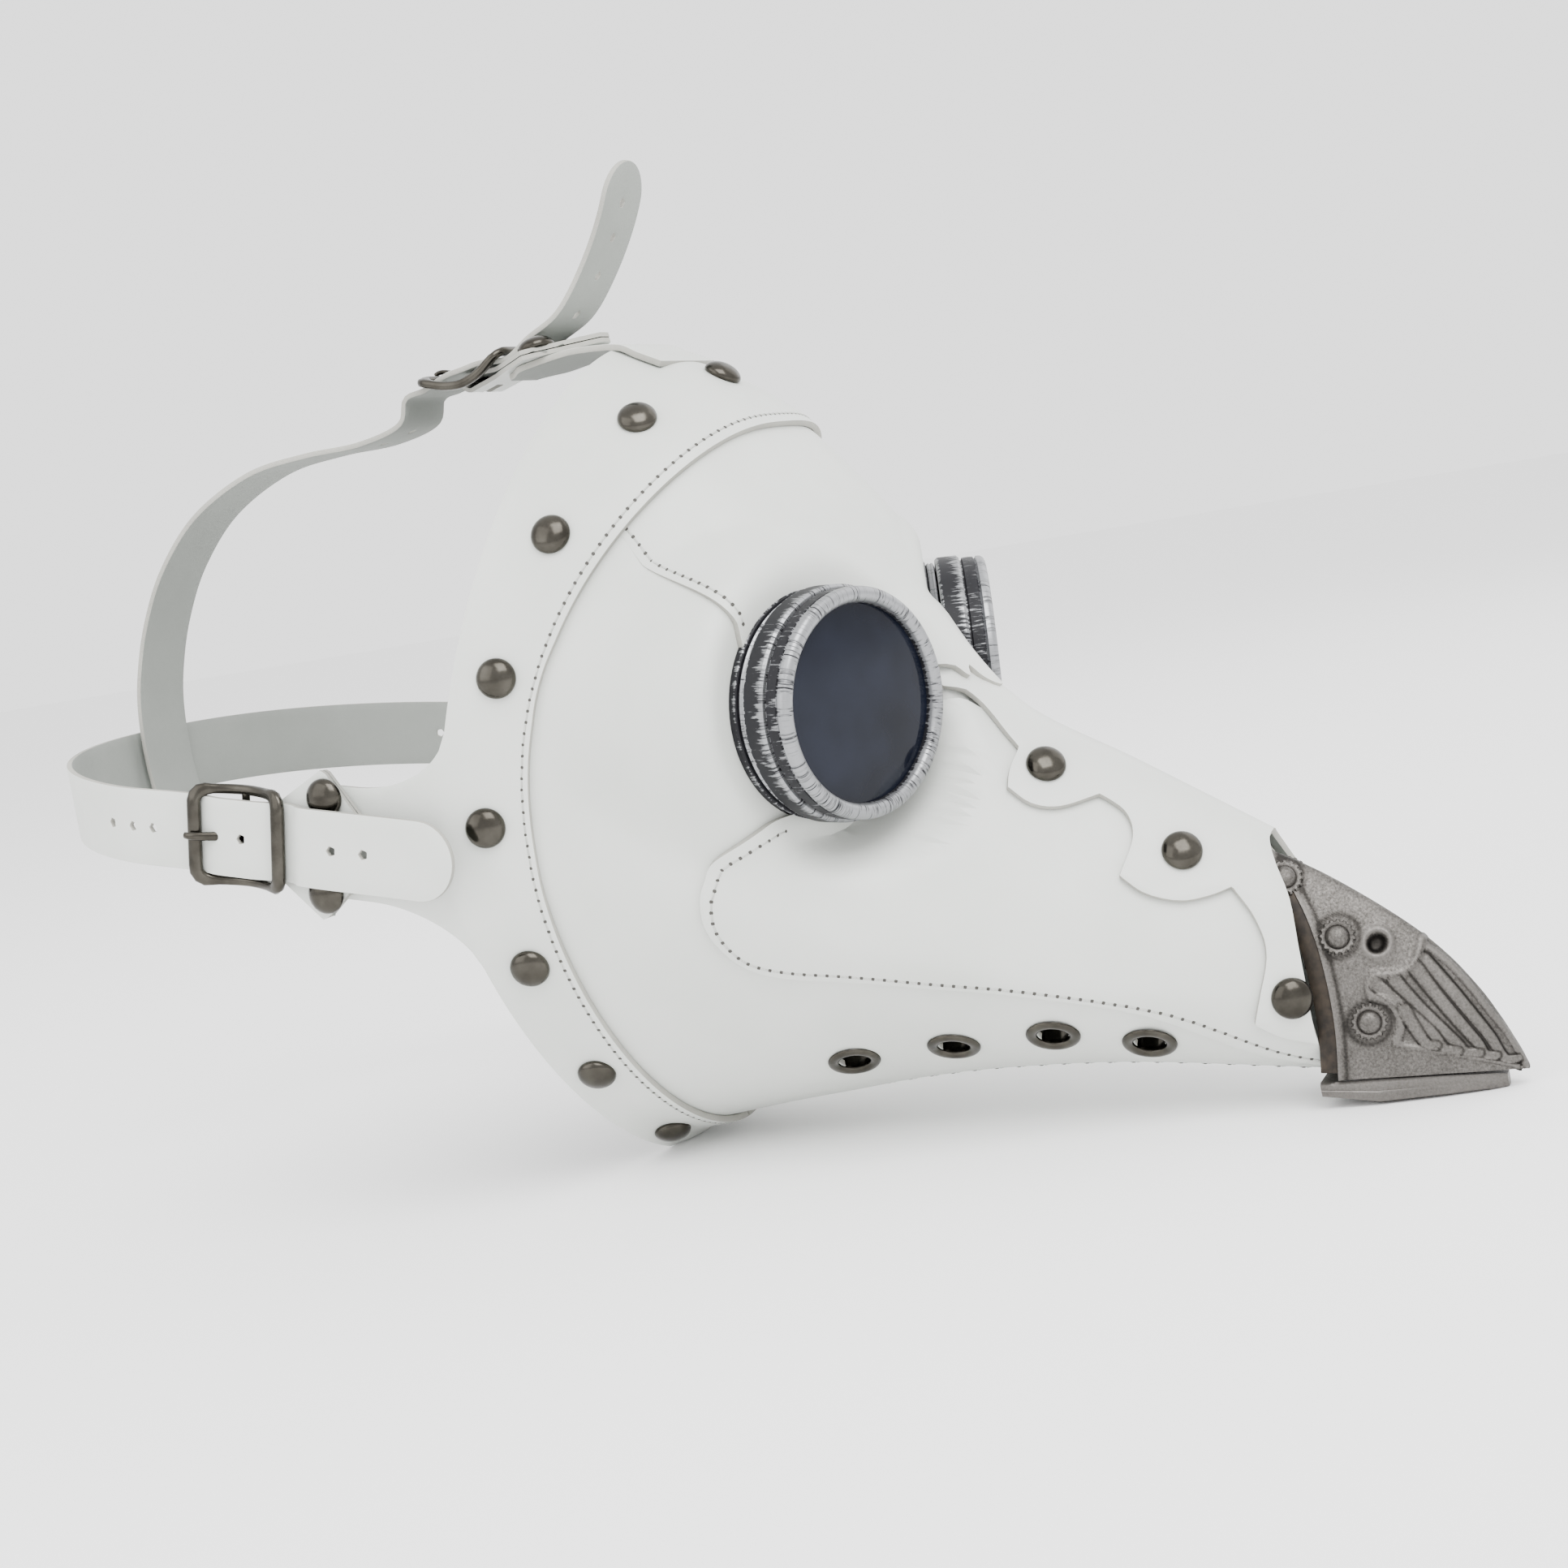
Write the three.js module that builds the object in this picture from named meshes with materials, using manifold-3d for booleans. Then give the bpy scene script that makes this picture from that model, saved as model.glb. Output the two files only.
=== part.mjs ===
// Plague doctor mask: a stitched leather face with a long beak, a cast metal bill, two round
// goggles whose lens rings unscrew, and a harness of straps with centre-bar buckles.
// Units are millimetres and +Z is up. The beak points along -Y and the wearer's right is -X.
import * as THREE from "three";
import { mergeVertices } from "three/addons/utils/BufferGeometryUtils.js";
import Module from "manifold-3d";

const wasm = await Module();
wasm.setup();

// ---------------------------------------------------------------- driving dimensions
const LEATHER = 1.8; // thickness of every leather panel
const FIT = 0.3; // clearance between pieces that touch
const LAYER = LEATHER + FIT; // step from one leather layer to the next
const HALF_WIDTH = 76; // half the face width at the rivet line
const FACE_HEIGHT = 207.7; // height of the rivet line at the forehead
const BEAK_REACH = 195; // distance from the chin to the front edge of the leather

const RING_STEPS = 16; // segments along each half of a cross-section
const ROW_STEP = 0.4; // stations between two rows of the leather form
const BEAK_END = 8; // station of the front edge of the leather
const FLANGE_ROW = 5; // row of the stitched front edge of the flange
const PANEL_ROW = 4; // row where the panels begin, hidden under the flange
const BEAK_PANEL_ROW = 6;
const RIDGE_ROW = 9;
const NECK_ROW = 19; // row where the bill's neck begins, inside the leather
const BEAK_ROW = 20;

const EYE_YAW = 21.5; // how far a goggle looks outwards, in degrees
const EYE_TILT = 3; // how far a goggle looks down, in degrees
const EYE_SPREAD = 41.8; // half the distance between the goggle bases
const EYE_FORWARD = 83.3;
const EYE_HEIGHT = 122;
const CUP_BORE = 23;
const CUP_TUBE = CUP_BORE + 2; // outer radius of the tube that passes through the leather
const CUP_FLANGE = CUP_TUBE + 4.4;
const CUP_FLANGE_THICK = 2.2;
const CUP_RIDGE = CUP_FLANGE - 0.7;
const CUP_RIDGE_THICK = 2.6;
const CUP_NECK = CUP_BORE + 3; // threaded neck that the lens ring screws onto
const RING_RADIUS = CUP_NECK + 4;
const SEAT_RADIUS = RING_RADIUS + 4; // flat leather round each goggle
const RING_DEPTH = 14.2;
const RING_LIP = CUP_NECK - 1; // radius of the visible lens
const RING_LIP_THICK = 1.6;
const LENS_THICK = 2;
const CLAMP_THICK = 3;
const CLAMP_GAP = 2.5 * FIT; // the leather's inner face curves a little over the clamp
const GOGGLE_SIDES = 28;

const RIVET_RADIUS = 5.25;
const RIVET_HEIGHT = 3.2;
const RIVET_SHANK = 1.5;
const RIVET_BURR = 2.8;
const RIVET_SIDES = 8;
const EYELET_RADIUS = 7.1;
const EYELET_HOLE = 4;
const EYELET_WALL = 0.8;
const EYELET_FLANGE = 0.9;
const EYELET_REACH = 1.1; // how far behind the leather an eyelet is clenched

const STRAP_WIDTH = 21;
const STRAP_THICK = 1.6;
const STRAP_HOLE = 1.5;
const TAB_SKIVE = 1.2; // thickness of each layer of a folded buckle tab
const BAR = 2.6; // thickness of the buckle bars
const CENTRE_BAR_RADIUS = 1.1;
const BUCKLE_LENGTH = 30;
const BUCKLE_HEIGHT = STRAP_WIDTH + 2 * BAR + 1.2; // room for the strap between the rails
const BUCKLE_BOW = 4.9; // how far the end bars stand above the centre bar
const PRONG_WIDTH = 2.6;
const PRONG_THICK = 1.6;
const TAB_RIVET_SPREAD = 12.8;

const BILL_WALL = 2.2;
const NECK_DEPTH = 2.1; // how far inside the leather form the bill's neck reaches
const TABLE = 0; // the chin and the lower bill rest on this height

const white = { color: 0xeceee8, roughness: 0.5, metalness: 0 };
const gunmetal = { color: 0x5a544c, roughness: 0.28, metalness: 0.9 };
const pewter = { color: 0x8d8a86, roughness: 0.42, metalness: 0.85 };
const brushedBlack = { color: 0x2c2d2f, roughness: 0.45, metalness: 0.6 };
const smoked = { color: 0x14171f, roughness: 0.08, metalness: 0 };

// Cross-sections of the leather form, from the rear edge to the front of the beak. Each gives
// the top of the section, its widest point and its bottom, as distances forward (f), up (u)
// and sideways (r), and how square its upper and lower quarters are.
const H = FACE_HEIGHT / 207.7;
const W = HALF_WIDTH / 76;
const B = BEAK_REACH / 195;
const STATIONS = [
  { topF: 31, topU: 220.5, r: 80, f: -8, u: 97, lowF: 4, lowU: 0, upper: 2.1, lower: 1.65, lean: 1.3 },
  { topF: 54, topU: 207.7, r: 76, f: 4, u: 101, lowF: 11, lowU: 5, upper: 2.3, lower: 1.75, lean: 1.5 },
  { topF: 70, topU: 193, r: 71.5, f: 15, u: 92, lowF: 24, lowU: 7.5, upper: 2.9, lower: 1.8, lean: 1.6 },
  { topF: 84, topU: 172, r: 70.5, f: 34, u: 88, lowF: 42, lowU: 10, upper: 3.1, lower: 1.75, lean: 1.7 },
  { topF: 93, topU: 152, r: 68, f: 54, u: 82, lowF: 62, lowU: 12, upper: 3.2, lower: 1.65, lean: 1.8 },
  { topF: 103, topU: 133, r: 61, f: 75, u: 72, lowF: 83, lowU: 14, upper: 1.6, lower: 1.5, lean: 1.8 },
  { topF: 122, topU: 107, r: 49, f: 102, u: 57, lowF: 108, lowU: 15, upper: 1.25, lower: 1.45, lean: 1.6 },
  { topF: 152, topU: 87, r: 33, f: 140, u: 42, lowF: 144, lowU: 14, upper: 1.25, lower: 1.45, lean: 1.5 },
  { topF: 185, topU: 65, r: 14.5, f: 190, u: 30, lowF: 195, lowU: 9, upper: 1.4, lower: 1.7, lean: 1.4 },
];

// ---------------------------------------------------------------- frame and solids
// The design works in sideways, forward and up distances; the row frame has +X to the
// wearer's left and -Y along the beak.
const at = (r, f, u) => new THREE.Vector3(-r, -f, u);

function manifoldOf(geometry) {
  const bare = geometry.index ? geometry.toNonIndexed() : geometry.clone();
  for (const name of Object.keys(bare.attributes)) {
    if (name !== "position") bare.deleteAttribute(name);
  }
  const merged = mergeVertices(bare, 1e-4);
  const solid = new wasm.Manifold(
    new wasm.Mesh({
      numProp: 3,
      vertProperties: merged.attributes.position.array,
      triVerts: new Uint32Array(merged.index.array),
    }),
  );
  return solid;
}

function geometryOf(solid) {
  const mesh = solid.getMesh();
  const geometry = new THREE.BufferGeometry();
  geometry.setAttribute("position", new THREE.BufferAttribute(mesh.vertProperties, 3));
  geometry.setIndex(new THREE.BufferAttribute(mesh.triVerts, 1));
  geometry.computeVertexNormals();
  return geometry;
}

// A closed solid from rows of points: every row is a closed loop, joined to the next one.
function loftLoops(rows) {
  const points = rows.flat();
  const count = rows[0].length;
  const faces = [];
  for (let i = 0; i + 1 < rows.length; i += 1) {
    for (let j = 0; j < count; j += 1) {
      const a = i * count + j;
      const b = i * count + ((j + 1) % count);
      faces.push(a, b, a + count, b, b + count, a + count);
    }
  }
  const geometry = new THREE.BufferGeometry().setFromPoints(points);
  return { geometry, faces, count };
}

function closeSolid(geometry, faces) {
  geometry.setIndex(faces);
  let solid = manifoldOf(geometry);
  if (solid.volume() < 0) {
    const turned = [];
    for (let i = 0; i < faces.length; i += 3) turned.push(faces[i], faces[i + 2], faces[i + 1]);
    geometry.setIndex(turned);
    solid = manifoldOf(geometry);
  }
  return solid;
}

// A tube-like solid through closed loops, with flat fans over its two ends.
function cappedLoft(rows) {
  const { geometry, faces, count } = loftLoops(rows);
  const last = (rows.length - 1) * count;
  for (let j = 1; j + 1 < count; j += 1) {
    faces.push(0, j + 1, j);
    faces.push(last, last + j, last + j + 1);
  }
  return closeSolid(geometry, faces);
}

// ---------------------------------------------------------------- the leather form
const KEYS = Object.keys(STATIONS[0]);
const SCALES = { topF: B, topU: H, r: W, f: B, u: H, lowF: B, lowU: H, upper: 1, lower: 1, lean: 1 };

function catmull(a, b, c, d, t) {
  const linear = (c - a) * t;
  const square = (2 * a - 5 * b + 4 * c - d) * t * t;
  const cube = (3 * b - a - 3 * c + d) * t * t * t;
  return 0.5 * (2 * b + linear + square + cube);
}

// The section at any station, with straight run-out past the two ends.
function section(s) {
  const last = STATIONS.length - 1;
  const i = Math.min(Math.max(Math.floor(s), 0), last - 1);
  const t = s - i;
  const values = {};
  for (const key of KEYS) {
    const b = STATIONS[i][key];
    const c = STATIONS[i + 1][key];
    const a = i > 0 ? STATIONS[i - 1][key] : 2 * b - c;
    const d = i + 2 <= last ? STATIONS[i + 2][key] : 2 * c - b;
    values[key] = SCALES[key] * catmull(a, b, c, d, t);
  }
  return values;
}

const EYE = at(EYE_SPREAD * W, EYE_FORWARD * B, EYE_HEIGHT * H);
const eyeDirection = (side) => {
  const yaw = THREE.MathUtils.degToRad(EYE_YAW);
  const tilt = THREE.MathUtils.degToRad(EYE_TILT);
  return at(side * Math.sin(yaw) * Math.cos(tilt), Math.cos(yaw) * Math.cos(tilt), -Math.sin(tilt));
};
const EYE_AXIS = eyeDirection(1);

// Presses the form flat round the goggle's seat and blends it back into the face.
function seated(point) {
  const fromEye = point.clone().sub(EYE);
  const height = fromEye.dot(EYE_AXIS);
  const radius = Math.sqrt(Math.max(fromEye.lengthSq() - height * height, 0));
  const outward = -(fromEye.x / Math.max(radius, 1));
  const reach = SEAT_RADIUS + 6 + 6 * THREE.MathUtils.clamp(1 + outward, 0, 2);
  const blend = 1 - THREE.MathUtils.smoothstep(radius, SEAT_RADIUS, reach);
  return point.clone().addScaledVector(EYE_AXIS, -height * blend);
}

// Half a cross-section from top to bottom, with evenly spaced points.
function halfRing(s) {
  const q = section(s);
  const fine = [];
  const samples = 240;
  for (let k = 0; k <= samples; k += 1) {
    const angle = (Math.PI * k) / samples;
    const c = Math.abs(Math.cos(angle));
    const over = angle <= Math.PI / 2;
    const power = 2 / (over ? q.upper : q.lower);
    const rise = c ** power;
    const r = q.r * Math.abs(Math.sin(angle)) ** power;
    const f = over ? q.f + (q.topF - q.f) * c ** q.lean : q.f + (q.lowF - q.f) * c ** 1.6;
    const u = over ? q.u + (q.topU - q.u) * rise : q.u + (q.lowU - q.u) * rise;
    fine.push(at(r, f, u));
  }
  fine[0].x = 0;
  fine[samples].x = 0;
  const lengths = [0];
  for (let k = 1; k <= samples; k += 1) lengths.push(lengths[k - 1] + fine[k].distanceTo(fine[k - 1]));
  const ring = [];
  let k = 1;
  for (let j = 0; j <= RING_STEPS; j += 1) {
    const wanted = (lengths[samples] * j) / RING_STEPS;
    while (k < samples && lengths[k] < wanted) k += 1;
    const share = (wanted - lengths[k - 1]) / (lengths[k] - lengths[k - 1]);
    ring.push(seated(fine[k - 1].clone().lerp(fine[k], share)));
  }
  return ring;
}

const mirrored = (point) => new THREE.Vector3(-point.x, point.y, point.z);

function fullRing(s) {
  const half = halfRing(s);
  const other = half.slice(1, RING_STEPS).reverse().map(mirrored);
  return half.concat(other);
}

// The whole form as rows of points with their outward normals, a row every ROW_STEP stations.
const FIRST_ROW = -1;
const LAST_ROW = Math.round(BEAK_END / ROW_STEP) + 1;
const LOOP = 2 * RING_STEPS;

function formGrid() {
  const rows = [];
  for (let i = FIRST_ROW - 1; i <= LAST_ROW + 1; i += 1) rows.push(fullRing(i * ROW_STEP));
  const grid = new Map();
  for (let i = FIRST_ROW; i <= LAST_ROW; i += 1) {
    const at0 = i - FIRST_ROW + 1;
    const ring = rows[at0];
    const normals = ring.map((_, j) => {
      const along = rows[at0 + 1][j].clone().sub(rows[at0 - 1][j]);
      const across = ring[(j + 1) % LOOP].clone().sub(ring[(j + LOOP - 1) % LOOP]);
      return across.cross(along).normalize();
    });
    if (normals[RING_STEPS / 2].x > 0) normals.forEach((normal) => normal.negate());
    grid.set(i, { ring, normals });
  }
  return grid;
}
const FORM = formGrid();

// A closed band of leather between two rows, from one height above the form to another. The
// quads are split the same way at every height, and mirrored on the far side.
function formBand(fromRow, toRow, inner, outer) {
  const points = [];
  const count = toRow - fromRow + 1;
  for (const height of [outer, inner]) {
    for (let i = fromRow; i <= toRow; i += 1) {
      const { ring, normals } = FORM.get(i);
      ring.forEach((point, j) => points.push(point.clone().addScaledVector(normals[j], height)));
    }
  }
  const index = (layer, i, j) => (layer * count + i) * LOOP + (j % LOOP);
  const faces = [];
  for (let layer = 0; layer < 2; layer += 1) {
    for (let i = 0; i + 1 < count; i += 1) {
      for (let j = 0; j < LOOP; j += 1) {
        const near = [index(layer, i, j), index(layer, i, j + 1)];
        const quad = [...near, index(layer, i + 1, j + 1), index(layer, i + 1, j)];
        const [a, b, c, d] = quad;
        const split = j < RING_STEPS ? [a, b, c, a, c, d] : [a, b, d, b, c, d];
        if (layer === 1) {
          for (let k = 0; k < 6; k += 3) [split[k + 1], split[k + 2]] = [split[k + 2], split[k + 1]];
        }
        faces.push(...split);
      }
    }
  }
  for (const i of [0, count - 1]) {
    for (let j = 0; j < LOOP; j += 1) {
      const [a, b, c, d] = [index(0, i, j), index(1, i, j), index(1, i, j + 1), index(0, i, j + 1)];
      if (i === 0) faces.push(a, b, c, a, c, d);
      else faces.push(a, c, b, a, d, c);
    }
  }
  return closeSolid(new THREE.BufferGeometry().setFromPoints(points), faces);
}

// ---------------------------------------------------------------- cutters
const SIDE_VIEW = new THREE.Matrix4().makeBasis(at(0, 1, 0), at(0, 0, 1), at(1, 0, 0));

// A prism with an outline of [forward, up] points, between two sideways distances.
function sidePrism(outline, from, to) {
  const shape = new THREE.Shape(outline.map(([f, u]) => new THREE.Vector2(f * B, u * H)));
  const geometry = new THREE.ExtrudeGeometry(shape, { depth: to - from, bevelEnabled: false });
  geometry.translate(0, 0, from).applyMatrix4(SIDE_VIEW);
  return manifoldOf(geometry);
}

// A matrix that puts a lathe's axis on a line from a point along a direction.
function alongAxis(origin, direction) {
  const turn = new THREE.Quaternion().setFromUnitVectors(new THREE.Vector3(0, 1, 0), direction);
  return new THREE.Matrix4().compose(origin, turn, new THREE.Vector3(1, 1, 1));
}

function lathe(profile, sides, matrix) {
  const points = profile.map(([radius, height]) => new THREE.Vector2(radius, height));
  const geometry = new THREE.LatheGeometry(points, sides);
  geometry.applyMatrix4(matrix);
  const solid = manifoldOf(geometry);
  if (solid.volume() > 0) return solid;
  points.reverse();
  return manifoldOf(new THREE.LatheGeometry(points, sides).applyMatrix4(matrix));
}

function rod(radius, low, high, sides, matrix) {
  return lathe([[0, low], [radius, low], [radius, high], [0, high]], sides, matrix);
}

function block(size, centre, matrix) {
  const geometry = new THREE.BoxGeometry(size.x, size.y, size.z);
  geometry.translate(centre.x, centre.y, centre.z).applyMatrix4(matrix);
  return manifoldOf(geometry);
}

const SIDES = [
  { name: "right", sign: 1 },
  { name: "left", sign: -1 },
];
const FAR = 120; // reaches past the widest point of the mask

function mirrorSolid(solid) {
  const mesh = solid.getMesh();
  const positions = Float32Array.from(mesh.vertProperties);
  for (let i = 0; i < positions.length; i += 3) positions[i] = -positions[i];
  const faces = Uint32Array.from(mesh.triVerts);
  for (let i = 0; i < faces.length; i += 3) [faces[i + 1], faces[i + 2]] = [faces[i + 2], faces[i + 1]];
  return new wasm.Manifold(new wasm.Mesh({ numProp: 3, vertProperties: positions, triVerts: faces }));
}

const onSide = (solid, sign) => (sign > 0 ? solid : mirrorSolid(solid));

// ---------------------------------------------------------------- scene graph
const mask = new THREE.Group();

function piece(name, solid, finish) {
  const mesh = new THREE.Mesh(geometryOf(solid.simplify(0.02)), new THREE.MeshStandardMaterial(finish));
  mesh.name = name;
  mask.add(mesh);
}

// ---------------------------------------------------------------- leather panels
// Outlines in the side view. The brow seam divides the forehead from the cheeks.
const BROW_SEAM = [[40, 178], [47, 172], [79, 143], [95, 131], [101, 126], [130, 108]];
const BEAK_PANEL = [
  [86, 98], [75, 96], [66, 92], [60, 86], [57, 77], [58, 68], [63, 61], [73, 56.5], [89, 53],
  [108, 48], [126, 43], [154, 33], [177, 19], [198, 12], [203, 60], [190, 90], [150, 110],
  [122, 124], [104, 112],
];
const RIDGE_EDGE = [
  [98, 146], [104, 124], [112, 114], [120, 103], [124, 97], [123, 89], [129, 84], [137, 82],
  [145, 83], [152, 77], [150, 64], [156, 59], [164, 56], [171, 56], [176, 57], [181, 49],
  [183, 40], [180, 27], [186, 23], [198, 19], [203, 70], [160, 110], [125, 140],
];
const FRONT_EDGE = [[184, 80], [186, 66], [189, 52], [190.5, 40], [192, 27], [193.5, 14], [195, 0]];

const behindFront = sidePrism([[-30, -20], ...[...FRONT_EDGE].reverse(), [180, 240], [-30, 240]], -FAR, FAR);
const aboveSeam = sidePrism([[-30, 190], [38, 180], ...BROW_SEAM.slice(1), [150, 240], [-30, 240]], -FAR, FAR);
const SEAM_GAP = BROW_SEAM.map(([f, u]) => [f - 0.2, u - FIT]);
const belowOutline = [[-30, -20], [220, -20], [220, 60], ...[...SEAM_GAP].reverse(), [-30, 200]];
const belowSeam = sidePrism(belowOutline, FIT / 2, FAR);

const eyeMatrix = alongAxis(EYE, EYE_AXIS);
const SEAT_TOP = LEATHER + FIT;
const eyeHole = rod(CUP_TUBE + FIT, -12, 40, GOGGLE_SIDES, eyeMatrix);
const eyeRoom = rod(RING_RADIUS + 2 * FIT, LEATHER, 40, GOGGLE_SIDES, eyeMatrix);
const panelRoom = rod(RING_RADIUS + 2 * FIT, 0, 40, GOGGLE_SIDES, eyeMatrix);
const bothEyes = (solid) => solid.add(mirrorSolid(solid));

const innerLayer = formBand(PANEL_ROW, BEAK_ROW, 0, LEATHER).subtract(bothEyes(eyeHole)).subtract(
  bothEyes(eyeRoom),
);
const outerLayer = formBand(BEAK_PANEL_ROW, BEAK_ROW, LAYER, LAYER + LEATHER).subtract(
  bothEyes(panelRoom),
);
const topLayer = formBand(RIDGE_ROW, BEAK_ROW, 2 * LAYER, 2 * LAYER + LEATHER).subtract(bothEyes(eyeRoom));

const ridgePrism = sidePrism(RIDGE_EDGE, -FAR, FAR);
const aboveTable = block(
  new THREE.Vector3(400, 900, 400),
  new THREE.Vector3(0, 0, 200 + TABLE),
  new THREE.Matrix4(),
);

function onlyLargest(solid) {
  const parts = solid.decompose();
  return parts.reduce((best, part) => (part.volume() > best.volume() ? part : best));
}

const foreheadSolid = onlyLargest(innerLayer.intersect(aboveSeam).intersect(behindFront));
const cheekSolid = onlyLargest(innerLayer.intersect(belowSeam).intersect(behindFront));
const beakPanelSolid = onlyLargest(
  outerLayer.intersect(sidePrism(BEAK_PANEL, FIT / 2, FAR)).intersect(behindFront),
);
const ridgeSolid = onlyLargest(topLayer.intersect(ridgePrism).intersect(behindFront));

// ---------------------------------------------------------------- harness frames
// Each buckle has its own frame: X along the strap towards its free end, Y across the strap
// and Z out of the mask, with the origin on the centre bar.
const EAR_SLOPE = -0.205;
const EAR_OUT = 82.2; // sideways distance of the ear's inner face
const earAlong = at(0, 1, EAR_SLOPE).normalize();
const sideOut = at(1, 0, 0);
const TAB_LIFT = LEATHER + FIT + TAB_SKIVE;
function frameMatrix(origin, along, out) {
  const across = out.clone().cross(along).normalize();
  return new THREE.Matrix4().makeBasis(along, across, out).setPosition(origin);
}
const sideFrame = frameMatrix(at(EAR_OUT * W + TAB_LIFT, -64.3, 111.6 * H), earAlong, sideOut);
const TOP_EAR_SLOPE = 0.13;
const topAlong = at(0, 1, TOP_EAR_SLOPE).normalize();
const topOut = at(0, -TOP_EAR_SLOPE, 1).normalize();
const topFrame = frameMatrix(at(0, -17.5, 222.5 * H), topAlong, topOut);

const EAR_WIDTH = 30;
const EAR_TIP = 12; // where the ear ends, measured from the centre bar
function earSolid(matrix, length) {
  const half = EAR_WIDTH / 2;
  const shape = new THREE.Shape();
  shape.moveTo(length, -half);
  shape.lineTo(length, half);
  shape.lineTo(EAR_TIP + half * 0.6, half);
  shape.lineTo(EAR_TIP, half * 0.5);
  shape.lineTo(EAR_TIP, -half * 0.5);
  shape.lineTo(EAR_TIP + half * 0.6, -half);
  shape.closePath();
  const geometry = new THREE.ExtrudeGeometry(shape, { depth: LEATHER, bevelEnabled: false });
  geometry.translate(0, 0, -TAB_LIFT).applyMatrix4(matrix);
  return manifoldOf(geometry);
}
const SIDE_EAR_LENGTH = 62;
const TOP_EAR_LENGTH = 43;

const sideEar = earSolid(sideFrame, SIDE_EAR_LENGTH);
// The top ear bends down onto the flange behind the crown rivet.
const TOP_EAR_ROOT = [[22, 224.3], [27, 224.6], [38, 219.3], [38, 221.2], [29, 226.3], [22, 226.1]];
const topEar = earSolid(topFrame, TOP_EAR_LENGTH).add(
  sidePrism(TOP_EAR_ROOT, -EAR_WIDTH / 2, EAR_WIDTH / 2),
);
const flangeBand = formBand(0, FLANGE_ROW, LAYER, LAYER + LEATHER);
const underFlange = formBand(FIRST_ROW, FLANGE_ROW + 1, -8, LAYER + 0.1);
let flangeSolid = flangeBand
  .add(sideEar.subtract(underFlange))
  .add(mirrorSolid(sideEar).subtract(underFlange))
  .add(topEar.subtract(underFlange));
flangeSolid = onlyLargest(flangeSolid.intersect(aboveTable));

// ---------------------------------------------------------------- rivets and eyelets
// A point on the form with its outward normal; the share runs from top (0) to bottom (1).
function spot(s, share) {
  const row = Math.min(Math.floor(s / ROW_STEP), LAST_ROW - 1);
  const part = s / ROW_STEP - row;
  const index = share * RING_STEPS;
  const j = Math.min(Math.floor(index), RING_STEPS - 1);
  const between = (field) => {
    const near = FORM.get(row)[field];
    const next = FORM.get(row + 1)[field];
    const first = near[j].clone().lerp(near[j + 1], index - j);
    return first.lerp(next[j].clone().lerp(next[j + 1], index - j), part);
  };
  return { point: between("ring"), normal: between("normals").normalize() };
}

// The place on the form where its side view passes a given forward and up distance.
function spotAt(f, u) {
  const wantedY = -f * B;
  const wantedZ = u * H;
  let best = { error: Infinity, s: 0, share: 0 };
  const search = (centreS, centreShare, spanS, spanShare) => {
    for (let i = -8; i <= 8; i += 1) {
      for (let j = -8; j <= 8; j += 1) {
        const s = THREE.MathUtils.clamp(centreS + (spanS * i) / 8, 1, BEAK_END);
        const share = THREE.MathUtils.clamp(centreShare + (spanShare * j) / 8, 0, 1);
        const { point } = spot(s, share);
        const error = Math.hypot(point.y - wantedY, point.z - wantedZ);
        if (error < best.error) best = { error, s, share };
      }
    }
  };
  search(4.5, 0.5, 3.5, 0.5);
  search(best.s, best.share, 0.5, 0.08);
  search(best.s, best.share, 0.08, 0.012);
  return spot(best.s, best.share);
}

const domeProfile = (base, inner, burr) => [
  [0, base + RIVET_HEIGHT],
  [RIVET_RADIUS * 0.5, base + RIVET_HEIGHT * 0.84],
  [RIVET_RADIUS * 0.87, base + RIVET_HEIGHT * 0.42],
  [RIVET_RADIUS, base],
  [RIVET_SHANK, base],
  [RIVET_SHANK, inner],
  [burr, inner],
  [burr, inner - 0.8],
  [0, inner - 0.8],
];

function rivetSolid(place, outerFace, innerFace) {
  const matrix = alongAxis(place.point, place.normal);
  return lathe(domeProfile(outerFace + FIT, innerFace - FIT, RIVET_BURR), RIVET_SIDES, matrix);
}

const rivetHole = (place) => rod(RIVET_SHANK + FIT, -8, 14, 6, alongAxis(place.point, place.normal));

// The flange curves under each rivet, so its head and burr stand a little further off.
const CURVE_GAP = 0.5;
function flangeRivet(place) {
  return rivetSolid(place, LAYER + LEATHER + CURVE_GAP, LAYER - CURVE_GAP);
}

const FLANGE_RIVETS = 7; // on each side, besides the one at the crown
const FIRST_RIVET = 0.135;
const LAST_RIVET = 0.925;
const flangeSpots = [];
for (let k = 0; k < FLANGE_RIVETS; k += 1) {
  flangeSpots.push(spot(1, FIRST_RIVET + ((LAST_RIVET - FIRST_RIVET) * k) / (FLANGE_RIVETS - 1)));
}
const crownSpot = spot(1, 0);
const ridgeSpots = [spotAt(131.5, 91.8), spotAt(164.5, 66.7), spotAt(188, 30.6)];
const EYELETS = [[74, 27], [102, 28.5], [129, 29], [152, 23.5]];
const eyeletSpots = EYELETS.map(([f, u]) => spotAt(f, u));

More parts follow.
